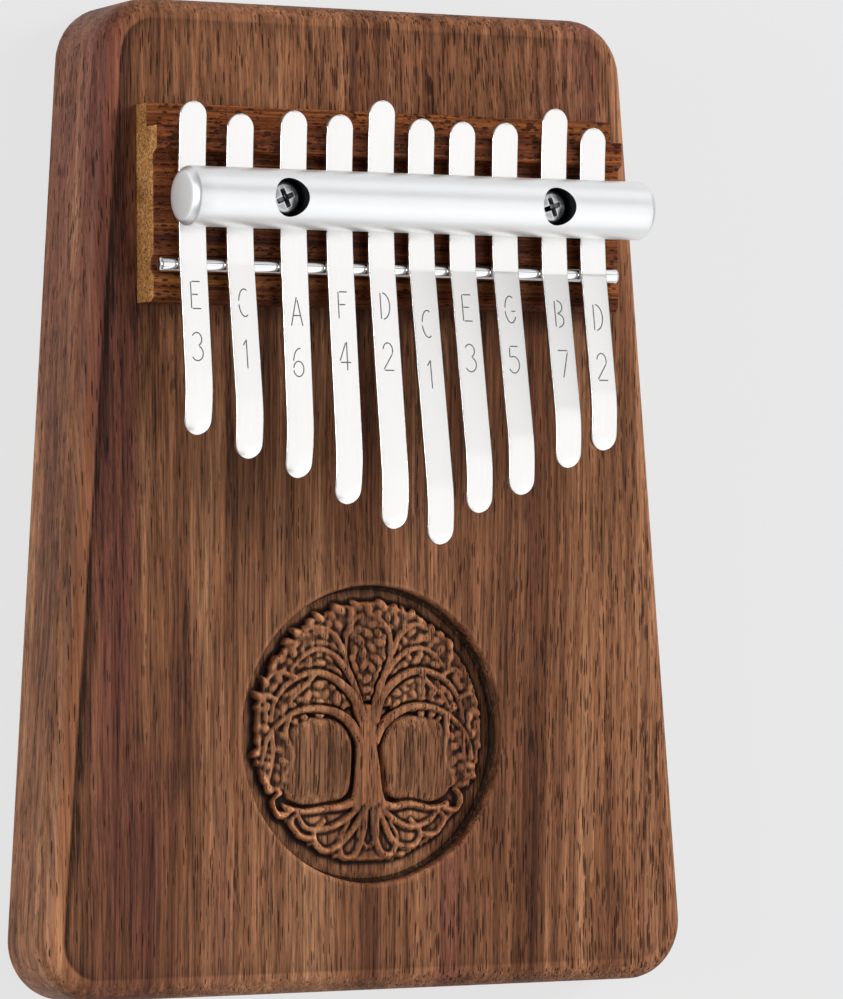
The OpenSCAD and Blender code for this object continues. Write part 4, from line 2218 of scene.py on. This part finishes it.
@dataclass
class Studio:
    """A pale floor, soft light from the right and above, and the camera."""

    yaw_deg: float = 29.92
    pitch_deg: float = 2.26
    roll_deg: float = -1.02
    distance: float = 0.8858
    target: tuple[float, float, float] = (0.0093, -0.0001, 0.0140)
    lens: float = 207.8
    floor_size: float = 6.0
    glow: float = 0.73
    sky: float = 0.28

    def build(self) -> None:
        """Builds the camera, the floor and the lights."""
        bpy.context.scene.view_settings.view_transform = "Standard"
        self._camera()
        self._floor()
        self._sky()
        self._lamp("key", (0.92, 0.36, 0.66), 1.6, 0.5, 24.0, seen=False)
        self._lamp("mirrored", (0.5, -0.1, 0.86), 1.7, 1.6, 6.7)
        self._lamp("fill", (-1.0, 0.05, 0.42), 1.6, 0.5, 15.0)
        self._lamp("front", (0.52, -0.78, 0.5), 1.7, 1.3, 4.6)
        self._lamp("back", (0.52, 0.74, 0.45), 1.7, 1.3, 4.2)

    def _camera(self) -> None:
        """Puts the camera on its line of sight to the target."""
        yaw, pitch, roll = (math.radians(a) for a in (self.yaw_deg, self.pitch_deg, self.roll_deg))
        ahead = Vector(
            (math.sin(yaw) * math.cos(pitch), math.sin(pitch), -math.cos(yaw) * math.cos(pitch))
        )
        level = Vector((math.cos(yaw), 0.0, math.sin(yaw)))
        upright = (-ahead).cross(level)
        right = level * math.cos(roll) + upright * math.sin(roll)
        up = upright * math.cos(roll) - level * math.sin(roll)
        data = bpy.data.cameras.new("camera")
        data.lens = self.lens
        data.sensor_width = 36.0
        data.clip_start = 0.01
        camera = bpy.data.objects.new("camera", data)
        bpy.context.scene.collection.objects.link(camera)
        turn = Matrix((right, up, -ahead)).transposed().to_4x4()
        camera.matrix_world = Matrix.Translation(Vector(self.target) - ahead * self.distance) @ turn
        bpy.context.scene.camera = camera

    def _floor(self) -> None:
        """A wide plain floor that the board lies on."""
        half = self.floor_size / 2
        shell = Shell()
        corners = [(-half, -half, 0.0), (half, -half, 0.0), (half, half, 0.0), (-half, half, 0.0)]
        shell.cap(shell.ring(corners))
        floor = shell.build("floor")
        surface = Surface("pale_floor")
        surface.set("Base Color", (0.06, 0.06, 0.06, 1.0))
        surface.set("Roughness", 1.0)
        surface.set("Specular IOR Level", 0.0)
        surface.set("Emission Color", (1.0, 1.0, 1.0, 1.0))
        surface.set("Emission Strength", self.glow)
        floor.data.materials.append(surface.material)

    def _sky(self) -> None:
        """Even light from all round."""
        world = bpy.data.worlds.new("studio")
        bpy.context.scene.world = world
        world.use_nodes = True
        graph = Graph(world.node_tree)
        light = graph.node(
            "ShaderNodeBackground", sockets={"Color": (1.0, 1.0, 1.0, 1.0), "Strength": self.sky}
        )
        graph.node("ShaderNodeOutputWorld", sockets={0: light.outputs[0]})

    def _lamp(
        self, name: str, toward: Sequence[float], away: float, size: float, power: float, seen: bool = True
    ) -> None:
        """One soft square lamp that shines at the object.

        Args:
            name: the lamp's name.
            toward: the direction from the object to the lamp.
            away: its distance in metres.
            size: its side in metres.
            power: its power in watts.
            seen: whether it shows in polished metal.
        """
        data = bpy.data.lights.new(name, "AREA")
        data.size = size
        data.energy = power
        lamp = bpy.data.objects.new(name, data)
        lamp.visible_glossy = seen
        bpy.context.scene.collection.objects.link(lamp)
        direction = Vector(toward).normalized()
        place = direction * away
        lamp.matrix_world = Matrix.Translation(place) @ direction.to_track_quat("Z", "Y").to_matrix().to_4x4()


def main() -> None:
    """Builds the whole instrument around its frame."""
    logging.basicConfig(level=logging.INFO, format="%(name)s: %(message)s")
    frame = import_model()
    face = Face.of(frame)
    Studio().build()
    rod = Rod.of(face, frame)
    screws = Screws()
    Board().build(face)
    Block().build(face, rod, screws)
    rod.build(face)
    PressureBar().build(face, screws)
    screws.build(face)
    Tines().build(face, rod, screws)


if __name__ == "__main__":
    main()
